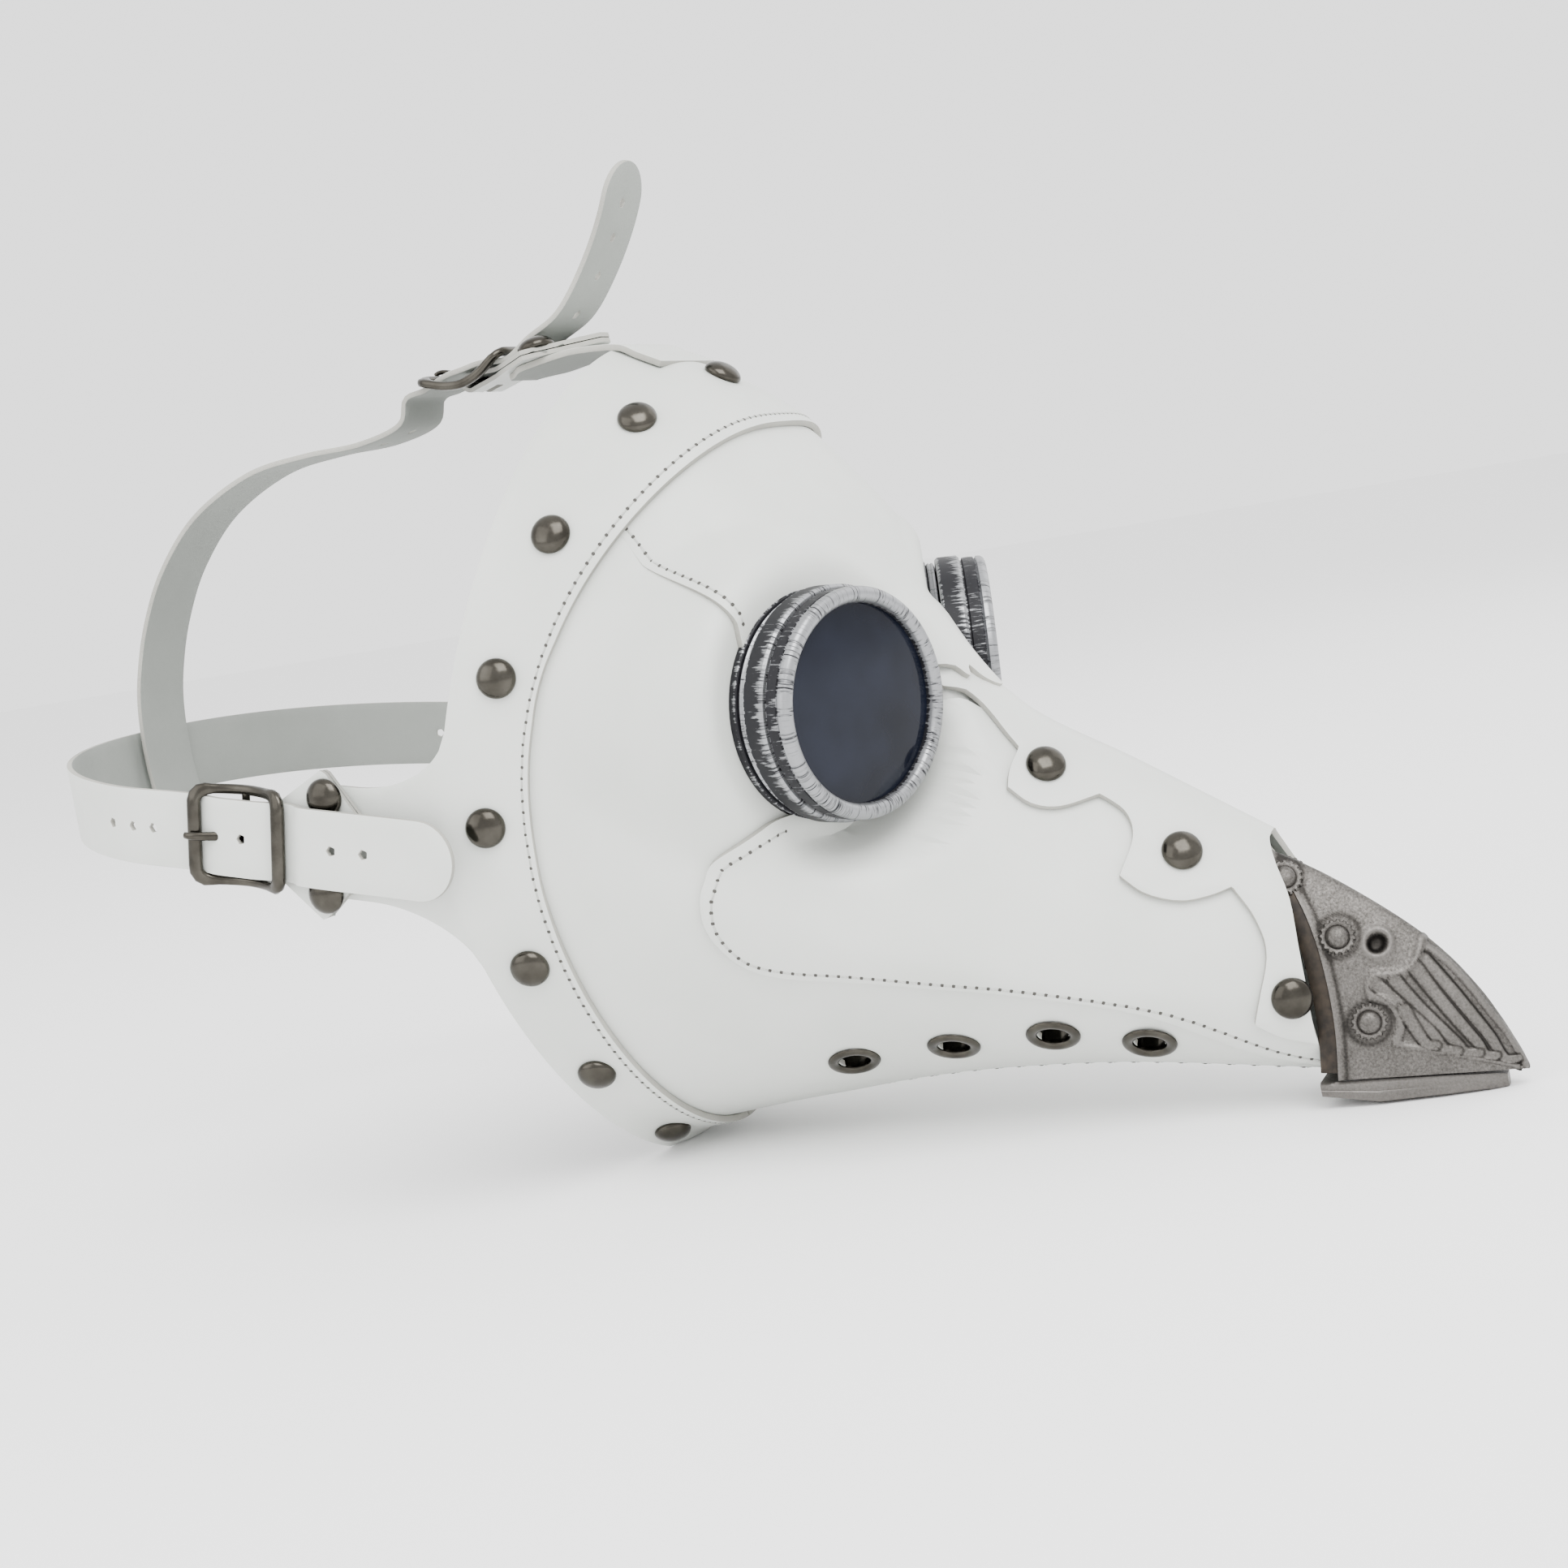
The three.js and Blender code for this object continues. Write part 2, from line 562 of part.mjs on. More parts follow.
function eyeletSolid(place) {
  const barrel = EYELET_HOLE + EYELET_WALL;
  const top = LEATHER + FIT;
  const profile = [
    [EYELET_HOLE, -EYELET_REACH - EYELET_FLANGE],
    [EYELET_RADIUS - 1.4, -EYELET_REACH - EYELET_FLANGE],
    [EYELET_RADIUS - 1.4, -EYELET_REACH],
    [barrel, -EYELET_REACH],
    [barrel, top],
    [EYELET_RADIUS, top],
    [EYELET_RADIUS - 0.5, top + EYELET_FLANGE],
    [EYELET_HOLE + 0.4, top + EYELET_FLANGE],
    [EYELET_HOLE, top + EYELET_FLANGE * 0.4],
    [EYELET_HOLE, -EYELET_REACH - EYELET_FLANGE],
  ];
  return lathe(profile, 10, alongAxis(place.point, place.normal));
}

const eyeletHole = (place) => {
  const radius = EYELET_HOLE + EYELET_WALL + FIT;
  return rod(radius, -6, 8, 10, alongAxis(place.point, place.normal));
};

const flangeHoles = flangeSpots.map(rivetHole).reduce((all, hole) => all.add(hole));
const ridgeHoles = ridgeSpots.map(rivetHole).reduce((all, hole) => all.add(hole));
const eyeletHoles = eyeletSpots.map(eyeletHole).reduce((all, hole) => all.add(hole));

// ---------------------------------------------------------------- buckles and tabs
const TAB_RIVET_X = 26;

// The two rivets of a tab share a backing strip behind the ear.
function tabRivets(matrix) {
  const top = TAB_SKIVE + FIT;
  const under = -TAB_LIFT - FIT;
  let solid = block(
    new THREE.Vector3(2 * RIVET_BURR, 2 * TAB_RIVET_SPREAD + 2 * RIVET_BURR, 0.8),
    new THREE.Vector3(TAB_RIVET_X, 0, under - 0.4),
    matrix,
  );
  for (const side of [-1, 1]) {
    const origin = new THREE.Vector3(TAB_RIVET_X, side * TAB_RIVET_SPREAD, 0).applyMatrix4(matrix);
    const out = new THREE.Vector3().setFromMatrixColumn(matrix, 2);
    const place = alongAxis(origin, out);
    solid = solid.add(lathe(domeProfile(top, under, RIVET_BURR - 0.4), RIVET_SIDES, place));
  }
  return solid;
}

function tabRivetHoles(matrix) {
  const out = new THREE.Vector3().setFromMatrixColumn(matrix, 2);
  const holes = [-1, 1].map((side) => {
    const origin = new THREE.Vector3(TAB_RIVET_X, side * TAB_RIVET_SPREAD, 0).applyMatrix4(matrix);
    return rod(RIVET_SHANK + FIT, -9, 9, 6, alongAxis(origin, out));
  });
  return holes[0].add(holes[1]);
}

const TAB_NECK = 17; // width of the tab where it folds round the bar
const PRONG_SLOT = PRONG_WIDTH + 4 * FIT;
function tabSolid(matrix) {
  const neck = TAB_NECK / 2;
  const wide = TAB_RIVET_SPREAD + RIVET_RADIUS;
  const shape = new THREE.Shape();
  shape.moveTo(0, -neck);
  shape.lineTo(9, -neck);
  shape.lineTo(TAB_RIVET_X - 4, -wide);
  shape.lineTo(TAB_RIVET_X + 3, -wide);
  shape.lineTo(TAB_RIVET_X + 15, -3);
  shape.lineTo(TAB_RIVET_X + 15, 3);
  shape.lineTo(TAB_RIVET_X + 3, wide);
  shape.lineTo(TAB_RIVET_X - 4, wide);
  shape.lineTo(9, neck);
  shape.lineTo(0, neck);
  shape.closePath();
  const geometry = new THREE.ExtrudeGeometry(shape, { depth: 2 * TAB_SKIVE, bevelEnabled: false });
  geometry.translate(0, 0, -TAB_SKIVE).applyMatrix4(matrix);
  const across = new THREE.Vector3().setFromMatrixColumn(matrix, 1);
  const origin = new THREE.Vector3().setFromMatrixPosition(matrix);
  const line = alongAxis(origin, across);
  const bore = CENTRE_BAR_RADIUS + FIT;
  const fold = rod(bore + TAB_SKIVE, -neck, neck, 16, line);
  const hollow = rod(bore, -neck - 1, neck + 1, 12, line);
  const slot = block(new THREE.Vector3(14, PRONG_SLOT, 12), new THREE.Vector3(0, 0, 0), matrix);
  return manifoldOf(geometry).add(fold).subtract(hollow).subtract(slot).subtract(tabRivetHoles(matrix));
}

// A bowed frame: the rails climb from the centre bar to the two end bars.
function buckleSolid(matrix) {
  const halfL = BUCKLE_LENGTH / 2;
  const halfH = BUCKLE_HEIGHT / 2;
  const reach = halfL - BAR / 2;
  const steps = 8;
  let frame;
  for (const side of [-1, 1]) {
    const low = side > 0 ? halfH - BAR : -halfH;
    const points = [];
    for (let k = 0; k <= steps; k += 1) {
      const x = -halfL + (BUCKLE_LENGTH * k) / steps;
      const lift = BUCKLE_BOW * Math.min((x / reach) ** 2, 1);
      points.push([x, lift]);
    }
    const loops = points.map(([x, lift], k) => {
      const inset = k === 0 || k === steps ? 1 : 0;
      const inner = side > 0 ? 0 : inset;
      const outer = side > 0 ? inset : 0;
      return [
        new THREE.Vector3(x, low + inner, lift - BAR / 2),
        new THREE.Vector3(x, low + BAR - outer, lift - BAR / 2),
        new THREE.Vector3(x, low + BAR - outer, lift + BAR / 2),
        new THREE.Vector3(x, low + inner, lift + BAR / 2),
      ].map((point) => point.applyMatrix4(matrix));
    });
    const rail = cappedLoft(loops);
    frame = frame ? frame.add(rail) : rail;
    const x = side * reach;
    const end = block(
      new THREE.Vector3(BAR, BUCKLE_HEIGHT - 2, BAR),
      new THREE.Vector3(x, 0, BUCKLE_BOW),
      matrix,
    );
    frame = frame.add(end);
  }
  const across = new THREE.Vector3().setFromMatrixColumn(matrix, 1);
  const line = alongAxis(new THREE.Vector3().setFromMatrixPosition(matrix), across);
  return frame.add(rod(CENTRE_BAR_RADIUS, -halfH + BAR / 2, halfH - BAR / 2, 12, line));
}

// The prong loops round the centre bar and rests in front of the end bar.
const PRONG_EYE = 2.1;
function prongSolid(matrix) {
  const across = new THREE.Vector3().setFromMatrixColumn(matrix, 1);
  const line = alongAxis(new THREE.Vector3().setFromMatrixPosition(matrix), across);
  const half = PRONG_WIDTH / 2;
  const reach = BUCKLE_LENGTH / 2;
  const rest = BUCKLE_BOW + BAR / 2 + FIT;
  const side = [
    [-1.2, 0.9],
    [-5, 1.9],
    [-reach + BAR + 0.8, rest + 0.1],
    [-reach + 0.4, rest],
    [-reach + 0.4, rest + PRONG_THICK],
    [-reach + BAR + 0.6, rest + PRONG_THICK + 0.2],
    [-5, 1.9 + PRONG_THICK + 0.7],
    [-0.6, 2.0],
  ];
  const shape = new THREE.Shape(side.map(([x, z]) => new THREE.Vector2(x, z)));
  const geometry = new THREE.ExtrudeGeometry(shape, { depth: PRONG_WIDTH, bevelEnabled: false });
  geometry.translate(0, 0, -half);
  geometry.rotateX(Math.PI / 2);
  geometry.applyMatrix4(matrix);
  const eye = rod(PRONG_EYE, -half, half, 14, line);
  const bore = rod(CENTRE_BAR_RADIUS + 0.2, -half - 1, half + 1, 12, line);
  return manifoldOf(geometry).add(eye).subtract(bore);
}

// ---------------------------------------------------------------- straps
// A flat strap through a list of points; each has its own normal out of the strap's face.
function strapSolid(points, normals, widths, closed) {
  const path = new THREE.CatmullRomCurve3(points, closed, "centripetal");
  const steps = 2 * (points.length - 1);
  const loops = [];
  for (let k = 0; k <= steps; k += 1) {
    const t = k / steps;
    const centre = path.getPoint(t);
    const along = path.getTangent(t);
    const place = t * (points.length - 1);
    const i = Math.min(Math.floor(place), points.length - 2);
    const out = normals[i].clone().lerp(normals[i + 1], place - i);
    out.addScaledVector(along, -out.dot(along)).normalize();
    const across = out.clone().cross(along).normalize();
    const half = THREE.MathUtils.lerp(widths[i], widths[i + 1], place - i) / 2;
    const corner = (a, b) => centre.clone().addScaledVector(across, a).addScaledVector(out, b);
    const t2 = STRAP_THICK / 2;
    loops.push([corner(-half, -t2), corner(half, -t2), corner(half, t2), corner(-half, t2)]);
  }
  return cappedLoft(loops);
}

const inFrame = (matrix, x, z) => new THREE.Vector3(x, 0, z).applyMatrix4(matrix);
const BILLET_OVER = CENTRE_BAR_RADIUS + FIT + TAB_SKIVE + 0.45 + STRAP_THICK / 2;
const BILLET_UNDER = BUCKLE_BOW - BAR / 2 - 0.45 - STRAP_THICK / 2;
const BILLET_RISE = TAB_SKIVE + FIT + RIVET_HEIGHT + STRAP_THICK / 2 + 0.1;

// Where the strap threads its buckle: under the end bars, over the centre bar.
function billetPoints(matrix, tail) {
  const reach = (BUCKLE_LENGTH - BAR) / 2;
  return [
    [-reach - 7, BILLET_UNDER - 0.4],
    [-reach, BILLET_UNDER],
    [-6, (BILLET_OVER + BILLET_UNDER) / 2 + 0.9],
    [0, BILLET_OVER + 0.2],
    [6, (BILLET_OVER + BILLET_UNDER) / 2 + 0.9],
    [reach, BILLET_UNDER],
    [reach + 4, BILLET_UNDER + 0.9],
    [TAB_RIVET_X - 3, BILLET_RISE],
    ...tail,
  ].map(([x, z]) => inFrame(matrix, x, z));
}

const BACK_REACH = 159; // how far behind the chin the back strap passes
const BACK_HEIGHT = 129;
const BACK_STEPS = 7;
function backStrapSolid() {
  const right = billetPoints(sideFrame, [[TAB_RIVET_X + 20, BILLET_RISE], [64, BILLET_RISE + 0.5]]).reverse();
  const out = [];
  right.forEach(() => out.push(sideOut.clone()));
  const start = right[right.length - 1];
  const half = [];
  const halfOut = [];
  const frontF = -start.y;
  for (let k = 1; k <= BACK_STEPS; k += 1) {
    const angle = (Math.PI / 2) * (k / BACK_STEPS);
    const r = -start.x * Math.cos(angle) ** 0.9;
    const f = frontF + (-BACK_REACH - frontF) * Math.sin(angle) ** 0.95;
    const u = start.z + (BACK_HEIGHT * H - start.z) * Math.sin(angle);
    half.push(at(k === BACK_STEPS ? 0 : r, f, u));
    halfOut.push(at(Math.cos(angle), -Math.sin(angle), 0));
  }
  const points = right.concat(half);
  const normals = out.concat(halfOut);
  const other = points.slice(0, -1).reverse().map(mirrored);
  const otherOut = normals.slice(0, -1).reverse().map(mirrored);
  const all = points.concat(other);
  return { solid: strapSolid(all, normals.concat(otherOut), all.map(() => STRAP_WIDTH), false), all };
}

function topStrapSolid() {
  const lower = [
    [-154, 117], [-155, 131], [-154, 146], [-151, 158], [-145, 172], [-135, 187], [-119, 201],
    [-97, 210], [-76, 212], [-57, 212], [-42, 215],
  ].map(([f, u]) => at(0, f, u * H));
  const threaded = billetPoints(topFrame, [
    [TAB_RIVET_X + 8, BILLET_RISE + 3.5],
    [45, BILLET_RISE + 12.5],
    [55, BILLET_RISE + 24],
    [63, BILLET_RISE + 37],
  ]);
  const points = lower.concat(threaded);
  const normals = points.map((point, i) => {
    const before = points[Math.max(i - 1, 0)];
    const after = points[Math.min(i + 1, points.length - 1)];
    const along = after.clone().sub(before).normalize();
    return new THREE.Vector3(1, 0, 0).cross(along).negate().normalize();
  });
  const widths = points.map((_, i) => [34, 34, 34, 28][i] ?? STRAP_WIDTH);
  return { solid: strapSolid(points, normals, widths, false), points };
}

// Punched holes along a strap, measured along its buckle's own axis.
function punchedHoles(matrix, places, radius) {
  const out = new THREE.Vector3().setFromMatrixColumn(matrix, 2);
  return places
    .map((x) => rod(radius, -12, 16, 8, alongAxis(inFrame(matrix, x, 0), out)))
    .reduce((all, hole) => all.add(hole));
}

// A long hole that lets the prong swing up through the strap.
const prongOpening = (matrix) => block(new THREE.Vector3(14.5, PRONG_SLOT, 14), new THREE.Vector3(-6, 0, 4), matrix);
const HOLE_PITCH = 9.5;
const SIDE_HOLES = [-22, -22 - HOLE_PITCH, 32, 32 + HOLE_PITCH];

// A rounded end for a strap's free tail.
function tailTrim(matrix, end, lift) {
  const cut = block(new THREE.Vector3(30, 60, 40), new THREE.Vector3(end + 15 - STRAP_WIDTH / 2, 0, lift), matrix);
  const out = new THREE.Vector3().setFromMatrixColumn(matrix, 2);
  const round = rod(STRAP_WIDTH / 2, lift - 25, lift + 25, 24, alongAxis(inFrame(matrix, end - STRAP_WIDTH / 2, 0), out));
  return cut.subtract(round);
}

// ---------------------------------------------------------------- bill
// Upper bill sections: the top of the arch and the lip, from the joint to the tip.
const BILL = [
  { topF: 183, topU: 66.5, r: 16, f: 194, u: 8 },
  { topF: 200, topU: 56.5, r: 13.2, f: 207, u: 7.2 },
  { topF: 220, topU: 40.5, r: 9.2, f: 222, u: 6.2 },
  { topF: 232, topU: 25.5, r: 5.4, f: 233, u: 5.2 },
  { topF: 239, topU: 11.5, r: 2.2, f: 239.5, u: 4.4 },
  { topF: 241.5, topU: 5.2, r: 0.5, f: 241.5, u: 3.9 },
];
const BILL_SIDES = 8;

function billArch(station, wall, drop) {
  const arch = [];
  for (let k = -BILL_SIDES; k <= BILL_SIDES; k += 1) {
    const angle = (Math.PI / 2) * (k / BILL_SIDES);
    const c = Math.abs(Math.cos(angle)) ** 1.25;
    const sn = Math.abs(Math.sin(angle)) ** 1.25 * Math.sign(k);
    const r = Math.max(station.r - wall, 0.2) * sn;
    const low = station.u - drop;
    const top = Math.max(station.topU - wall * 1.3, low + 0.4);
    const f = station.f + (station.topF - station.f) * c;
    arch.push(at(r * W, f * B, (low + (top - low) * c) * H));
  }
  return arch;
}

function bill(wall, drop, stations) {
  return cappedLoft(stations.map((station) => billArch(station, wall, drop)));
}

const BILL_REAR = [[183, 90], [184.5, 66.5], [190.5, 56], [194.5, 46], [197, 34], [198, 20], [197, 8], [196, -20]];
const aheadOfRear = sidePrism([...BILL_REAR, [260, -20], [260, 90]], -FAR, FAR);
const rearCap = { topF: 176, topU: 69, r: 17.2, f: 186, u: 8.4 };
const billOuter = bill(0, 0, [rearCap, ...BILL]).intersect(aheadOfRear);
const billInner = bill(BILL_WALL, 3, [{ ...rearCap, topF: 174, f: 184 }, ...BILL.slice(0, 4)]);
const neck = formBand(NECK_ROW, LAST_ROW, -NECK_DEPTH, -2 * FIT).subtract(
  sidePrism([[150, -20], [240, -20], [240, 9.6], [150, 12.6]], -FAR, FAR),
);
const NOSTRIL = [213.5, 43.5];
const nostril = sidePrism(
  Array.from({ length: 10 }, (_, k) => {
    const angle = (2 * Math.PI * k) / 10;
    return [NOSTRIL[0] + 2.5 * Math.cos(angle), NOSTRIL[1] - 4 + 2.5 * Math.sin(angle)];
  }),
  -FAR,
  FAR,
);
const upperBillSolid = onlyLargest(
  billOuter.subtract(billInner).add(neck).subtract(nostril).subtract(bothEyes(ridgeHoles)),
);

const LOWER_BILL = [[192.5, 3], [206, TABLE], [236.4, TABLE], [236.4, 1.4], [196, 6.8], [192.5, 6.6]];
const lowerPlan = [[192.5, 15], [207, 12.4], [222, 8.3], [232, 4.6], [236.4, 1.6]];
function lowerBillSolid() {
  const shape = new THREE.Shape([
    ...lowerPlan.map(([f, r]) => new THREE.Vector2(-r * W, -f * B)),
    ...[...lowerPlan].reverse().map(([f, r]) => new THREE.Vector2(r * W, -f * B)),
  ]);
  const plan = manifoldOf(new THREE.ExtrudeGeometry(shape, { depth: 10, bevelEnabled: false }));
  return plan.intersect(sidePrism(LOWER_BILL, -FAR, FAR));
}

// ---------------------------------------------------------------- assembly
piece("forehead_panel", foreheadSolid, white);
piece("face_flange", flangeSolid.subtract(rivetHole(crownSpot)).subtract(bothEyes(flangeHoles)).subtract(
  bothEyes(tabRivetHoles(sideFrame)),
).subtract(tabRivetHoles(topFrame)), white);
piece("ridge_overlay", ridgeSolid.subtract(bothEyes(ridgeHoles)), white);
piece("upper_bill", upperBillSolid, pewter);
piece("lower_bill", lowerBillSolid(), pewter);
piece("rivet_crown", flangeRivet(crownSpot), gunmetal);

const ringBase = SEAT_TOP + CUP_FLANGE_THICK + CUP_RIDGE_THICK + FIT;
const ringTop = ringBase + RING_DEPTH;
const lensFace = ringTop - RING_LIP_THICK - FIT;
const lensBack = lensFace - LENS_THICK;
const neckTop = lensBack - FIT;
const ridgeTop = ringBase - FIT;
const cupProfile = [
  [CUP_BORE, -CLAMP_THICK - 2],
  [CUP_TUBE, -CLAMP_THICK - 2],
  [CUP_TUBE, SEAT_TOP],
  [CUP_FLANGE, SEAT_TOP],
  [CUP_FLANGE, SEAT_TOP + CUP_FLANGE_THICK],
  [CUP_RIDGE, SEAT_TOP + CUP_FLANGE_THICK],
  [CUP_RIDGE, ridgeTop],
  [CUP_NECK, ridgeTop],
  [CUP_NECK, neckTop],
  [CUP_BORE, neckTop],
  [CUP_BORE, -CLAMP_THICK - 2],
];
const boreRadius = CUP_NECK + FIT;
const ringProfile = [
  [boreRadius, ringBase],
  [RING_RADIUS - 0.8, ringBase],
  [RING_RADIUS, ringBase + 1],
  [RING_RADIUS, ringBase + 7.2],
  [RING_RADIUS - 1.4, ringBase + 7.8],
  [RING_RADIUS - 1.0, ringBase + 12.2],
  [RING_RADIUS - 2.6, ringTop],
  [RING_LIP, ringTop],
  [RING_LIP, ringTop - RING_LIP_THICK],
  [boreRadius, ringTop - RING_LIP_THICK],
  [boreRadius, ringBase],
];
const clampProfile = [
  [CUP_TUBE + FIT, -CLAMP_GAP - CLAMP_THICK],
  [CUP_FLANGE - 0.6, -CLAMP_GAP - CLAMP_THICK],
  [CUP_FLANGE - 0.6, -CLAMP_GAP],
  [CUP_TUBE + FIT, -CLAMP_GAP],
  [CUP_TUBE + FIT, -CLAMP_GAP - CLAMP_THICK],
];

const cupSolid = lathe(cupProfile, GOGGLE_SIDES, eyeMatrix);
const ringSolid = lathe(ringProfile, GOGGLE_SIDES, eyeMatrix);
const clampSolid = lathe(clampProfile, GOGGLE_SIDES, eyeMatrix);
const lensSolid = rod(boreRadius - FIT, lensBack, lensFace, GOGGLE_SIDES, eyeMatrix);
const back = backStrapSolid();
const top = topStrapSolid();

for (const { name, sign } of SIDES) {
  piece(`cheek_panel_${name}`, onSide(cheekSolid.subtract(eyeletHoles).subtract(ridgeHoles), sign), white);
  piece(`beak_side_panel_${name}`, onSide(beakPanelSolid.subtract(ridgeHoles), sign), white);
  piece(`eyecup_${name}`, onSide(cupSolid, sign), brushedBlack);
  piece(`lens_ring_${name}`, onSide(ringSolid, sign), brushedBlack);
  piece(`lens_${name}`, onSide(lensSolid, sign), smoked);
  piece(`clamp_ring_${name}`, onSide(clampSolid, sign), brushedBlack);
  flangeSpots.forEach((place, k) => {
    piece(`rivet_flange_${name}_${k + 1}`, onSide(flangeRivet(place), sign), gunmetal);
  });
  ridgeSpots.forEach((place, k) => {
    const rivet = rivetSolid(place, 2 * LAYER + LEATHER, k === 2 ? -NECK_DEPTH - FIT : 0);
    piece(`rivet_beak_${name}_${k + 1}`, onSide(rivet, sign), gunmetal);
  });
  eyeletSpots.forEach((place, k) => {
    piece(`eyelet_${name}_${k + 1}`, onSide(eyeletSolid(place), sign), gunmetal);
  });
  piece(`buckle_tab_${name}`, onSide(tabSolid(sideFrame), sign), white);
  piece(`buckle_frame_${name}`, onSide(buckleSolid(sideFrame), sign), gunmetal);
  piece(`buckle_prong_${name}`, onSide(prongSolid(sideFrame), sign), gunmetal);
  piece(`tab_rivets_${name}`, onSide(tabRivets(sideFrame), sign), gunmetal);
}
piece("buckle_tab_top", tabSolid(topFrame), white);
piece("buckle_frame_top", buckleSolid(topFrame), gunmetal);
piece("buckle_prong_top", prongSolid(topFrame), gunmetal);
piece("tab_rivets_top", tabRivets(topFrame), gunmetal);

const sideCuts = punchedHoles(sideFrame, SIDE_HOLES, STRAP_HOLE)
  .add(prongOpening(sideFrame))
  .add(tailTrim(sideFrame, 66, BILLET_RISE));
piece("back_strap", back.solid.subtract(bothEyes(sideCuts)), white);
piece("top_strap", top.solid.subtract(prongOpening(topFrame)), white);

// The origin is on the table under the middle of the mask.
const box = new THREE.Box3().setFromObject(mask);
mask.position.y = -(box.min.y + box.max.y) / 2;

export default mask;
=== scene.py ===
"""Looks of a stitched leather plague doctor mask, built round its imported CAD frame.

Shapes are worked out in millimetres in the design frame, which has -X to the wearer's right,
-Y along the beak and +Z up, with the beak's tip a set distance ahead of the origin. A mesh is
moved to the row frame, in metres, when it is made.
"""
import logging
import math
from dataclasses import dataclass, field
from enum import Enum
from typing import Callable, Iterable, Sequence

import bmesh
import bpy
import numpy as np
from mathutils import Matrix, Vector
from mathutils.geometry import delaunay_2d_cdt


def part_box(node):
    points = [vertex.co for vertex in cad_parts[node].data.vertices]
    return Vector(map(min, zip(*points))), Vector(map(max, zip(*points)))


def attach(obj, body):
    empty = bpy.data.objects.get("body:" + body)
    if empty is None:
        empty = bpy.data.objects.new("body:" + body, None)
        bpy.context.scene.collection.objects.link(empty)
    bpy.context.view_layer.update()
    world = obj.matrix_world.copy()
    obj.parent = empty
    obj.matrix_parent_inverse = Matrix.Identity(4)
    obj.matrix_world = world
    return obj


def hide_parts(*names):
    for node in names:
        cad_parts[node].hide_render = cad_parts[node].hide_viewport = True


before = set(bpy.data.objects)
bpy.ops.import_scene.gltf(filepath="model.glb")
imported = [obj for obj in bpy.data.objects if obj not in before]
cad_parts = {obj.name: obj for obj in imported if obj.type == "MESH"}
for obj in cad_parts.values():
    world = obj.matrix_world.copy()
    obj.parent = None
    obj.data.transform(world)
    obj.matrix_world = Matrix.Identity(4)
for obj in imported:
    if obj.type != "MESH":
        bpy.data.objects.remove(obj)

log = logging.getLogger("mask")

MM = 0.001
BILL_TIP = 241.5
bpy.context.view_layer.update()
ROW_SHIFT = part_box("upper_bill")[0].y / MM + BILL_TIP

LEATHER = 1.8
FIT = 0.3
LAYER = LEATHER + FIT
STRAP_WIDTH = 21.0
STRAP_THICK = 1.6

Array = np.ndarray
Surface = Callable[[Array, Array], tuple[Array, Array]]


class Side(Enum):
    """The two sides of the mask, with the sign of their sideways distance."""

    RIGHT = 1
    LEFT = -1

    @property
    def word(self) -> str:
        """The side's name as it is written in node names."""
        return self.name.lower()


class Face(Enum):
    """Material slots of a cut piece of leather."""

    GRAIN = 0
    BACK = 1
    EDGE = 2


# ---------------------------------------------------------------- small tools
def at(r: float, f: float, u: float) -> Array:
    """A point given as distances sideways, forward and up."""
    return np.array((-r, -f, u), float)


def unit(vectors: Array) -> Array:
    """Vectors at length one, along the last axis."""
    return vectors / np.maximum(np.linalg.norm(vectors, axis=-1, keepdims=True), 1e-9)


def smooth(low: float, high: float, value: Array) -> Array:
    """A smooth step from 0 at low to 1 at high."""
    t = np.clip((value - low) / (high - low), 0, 1)
    return t * t * (3 - 2 * t)


def spline(points: Sequence[Sequence[float]], steps: int = 8) -> Array:
    """A Catmull-Rom curve through points.

    Args:
        points: The points, in any number of dimensions.
        steps: Segments between two of them.

    Returns:
        The curve's points, with both ends.
    """
    p = np.asarray(points, float)
    p = np.vstack((2 * p[0] - p[1], p, 2 * p[-1] - p[-2]))
    out = []
    for a, b, c, d in zip(p[:-3], p[1:-2], p[2:-1], p[3:]):
        for t in np.arange(steps) / steps:
            square = (2 * a - 5 * b + 4 * c - d) * t * t
            cube = (3 * b - a - 3 * c + d) * t**3
            out.append(0.5 * (2 * b + (c - a) * t + square + cube))
    out.append(p[-2])
    return np.array(out)


def joined(*parts: Array) -> Array:
    """Curves in a row as one line, without the points that repeat."""
    line = np.vstack(parts)
    keep = np.linalg.norm(np.diff(line, axis=0), axis=1) > 1e-6
    return np.vstack((line[:1], line[1:][keep]))


def resampled(line: Array, pitch: float, scale: Sequence[float] = (1, 1)) -> Array:
    """A line with points at even distances.

    Args:
        line: The line's points.
        pitch: The distance wanted, after scaling.
        scale: What each coordinate is multiplied by to measure it.

    Returns:
        The new points, with both ends kept.
    """
    step = np.linalg.norm(np.diff(line * np.asarray(scale), axis=0), axis=1)
    run = np.concatenate(([0], np.cumsum(step)))
    count = max(int(round(run[-1] / pitch)), 1)
    wanted = np.linspace(0, run[-1], count + 1)
    return np.column_stack([np.interp(wanted, run, line[:, k]) for k in range(line.shape[1])])


def circle(radius: float, count: int, centre: Sequence[float] = (0, 0)) -> Array:
    """Points of a circle in the plane."""
    turn = 2 * np.pi * np.arange(count) / count
    return np.column_stack((centre[0] + radius * np.cos(turn), centre[1] + radius * np.sin(turn)))


def only(obj: bpy.types.Object) -> bpy.types.Object:
    """Selects one object and makes it active."""
    bpy.ops.object.select_all(action="DESELECT")
    obj.select_set(True)
    bpy.context.view_layer.objects.active = obj
    return obj


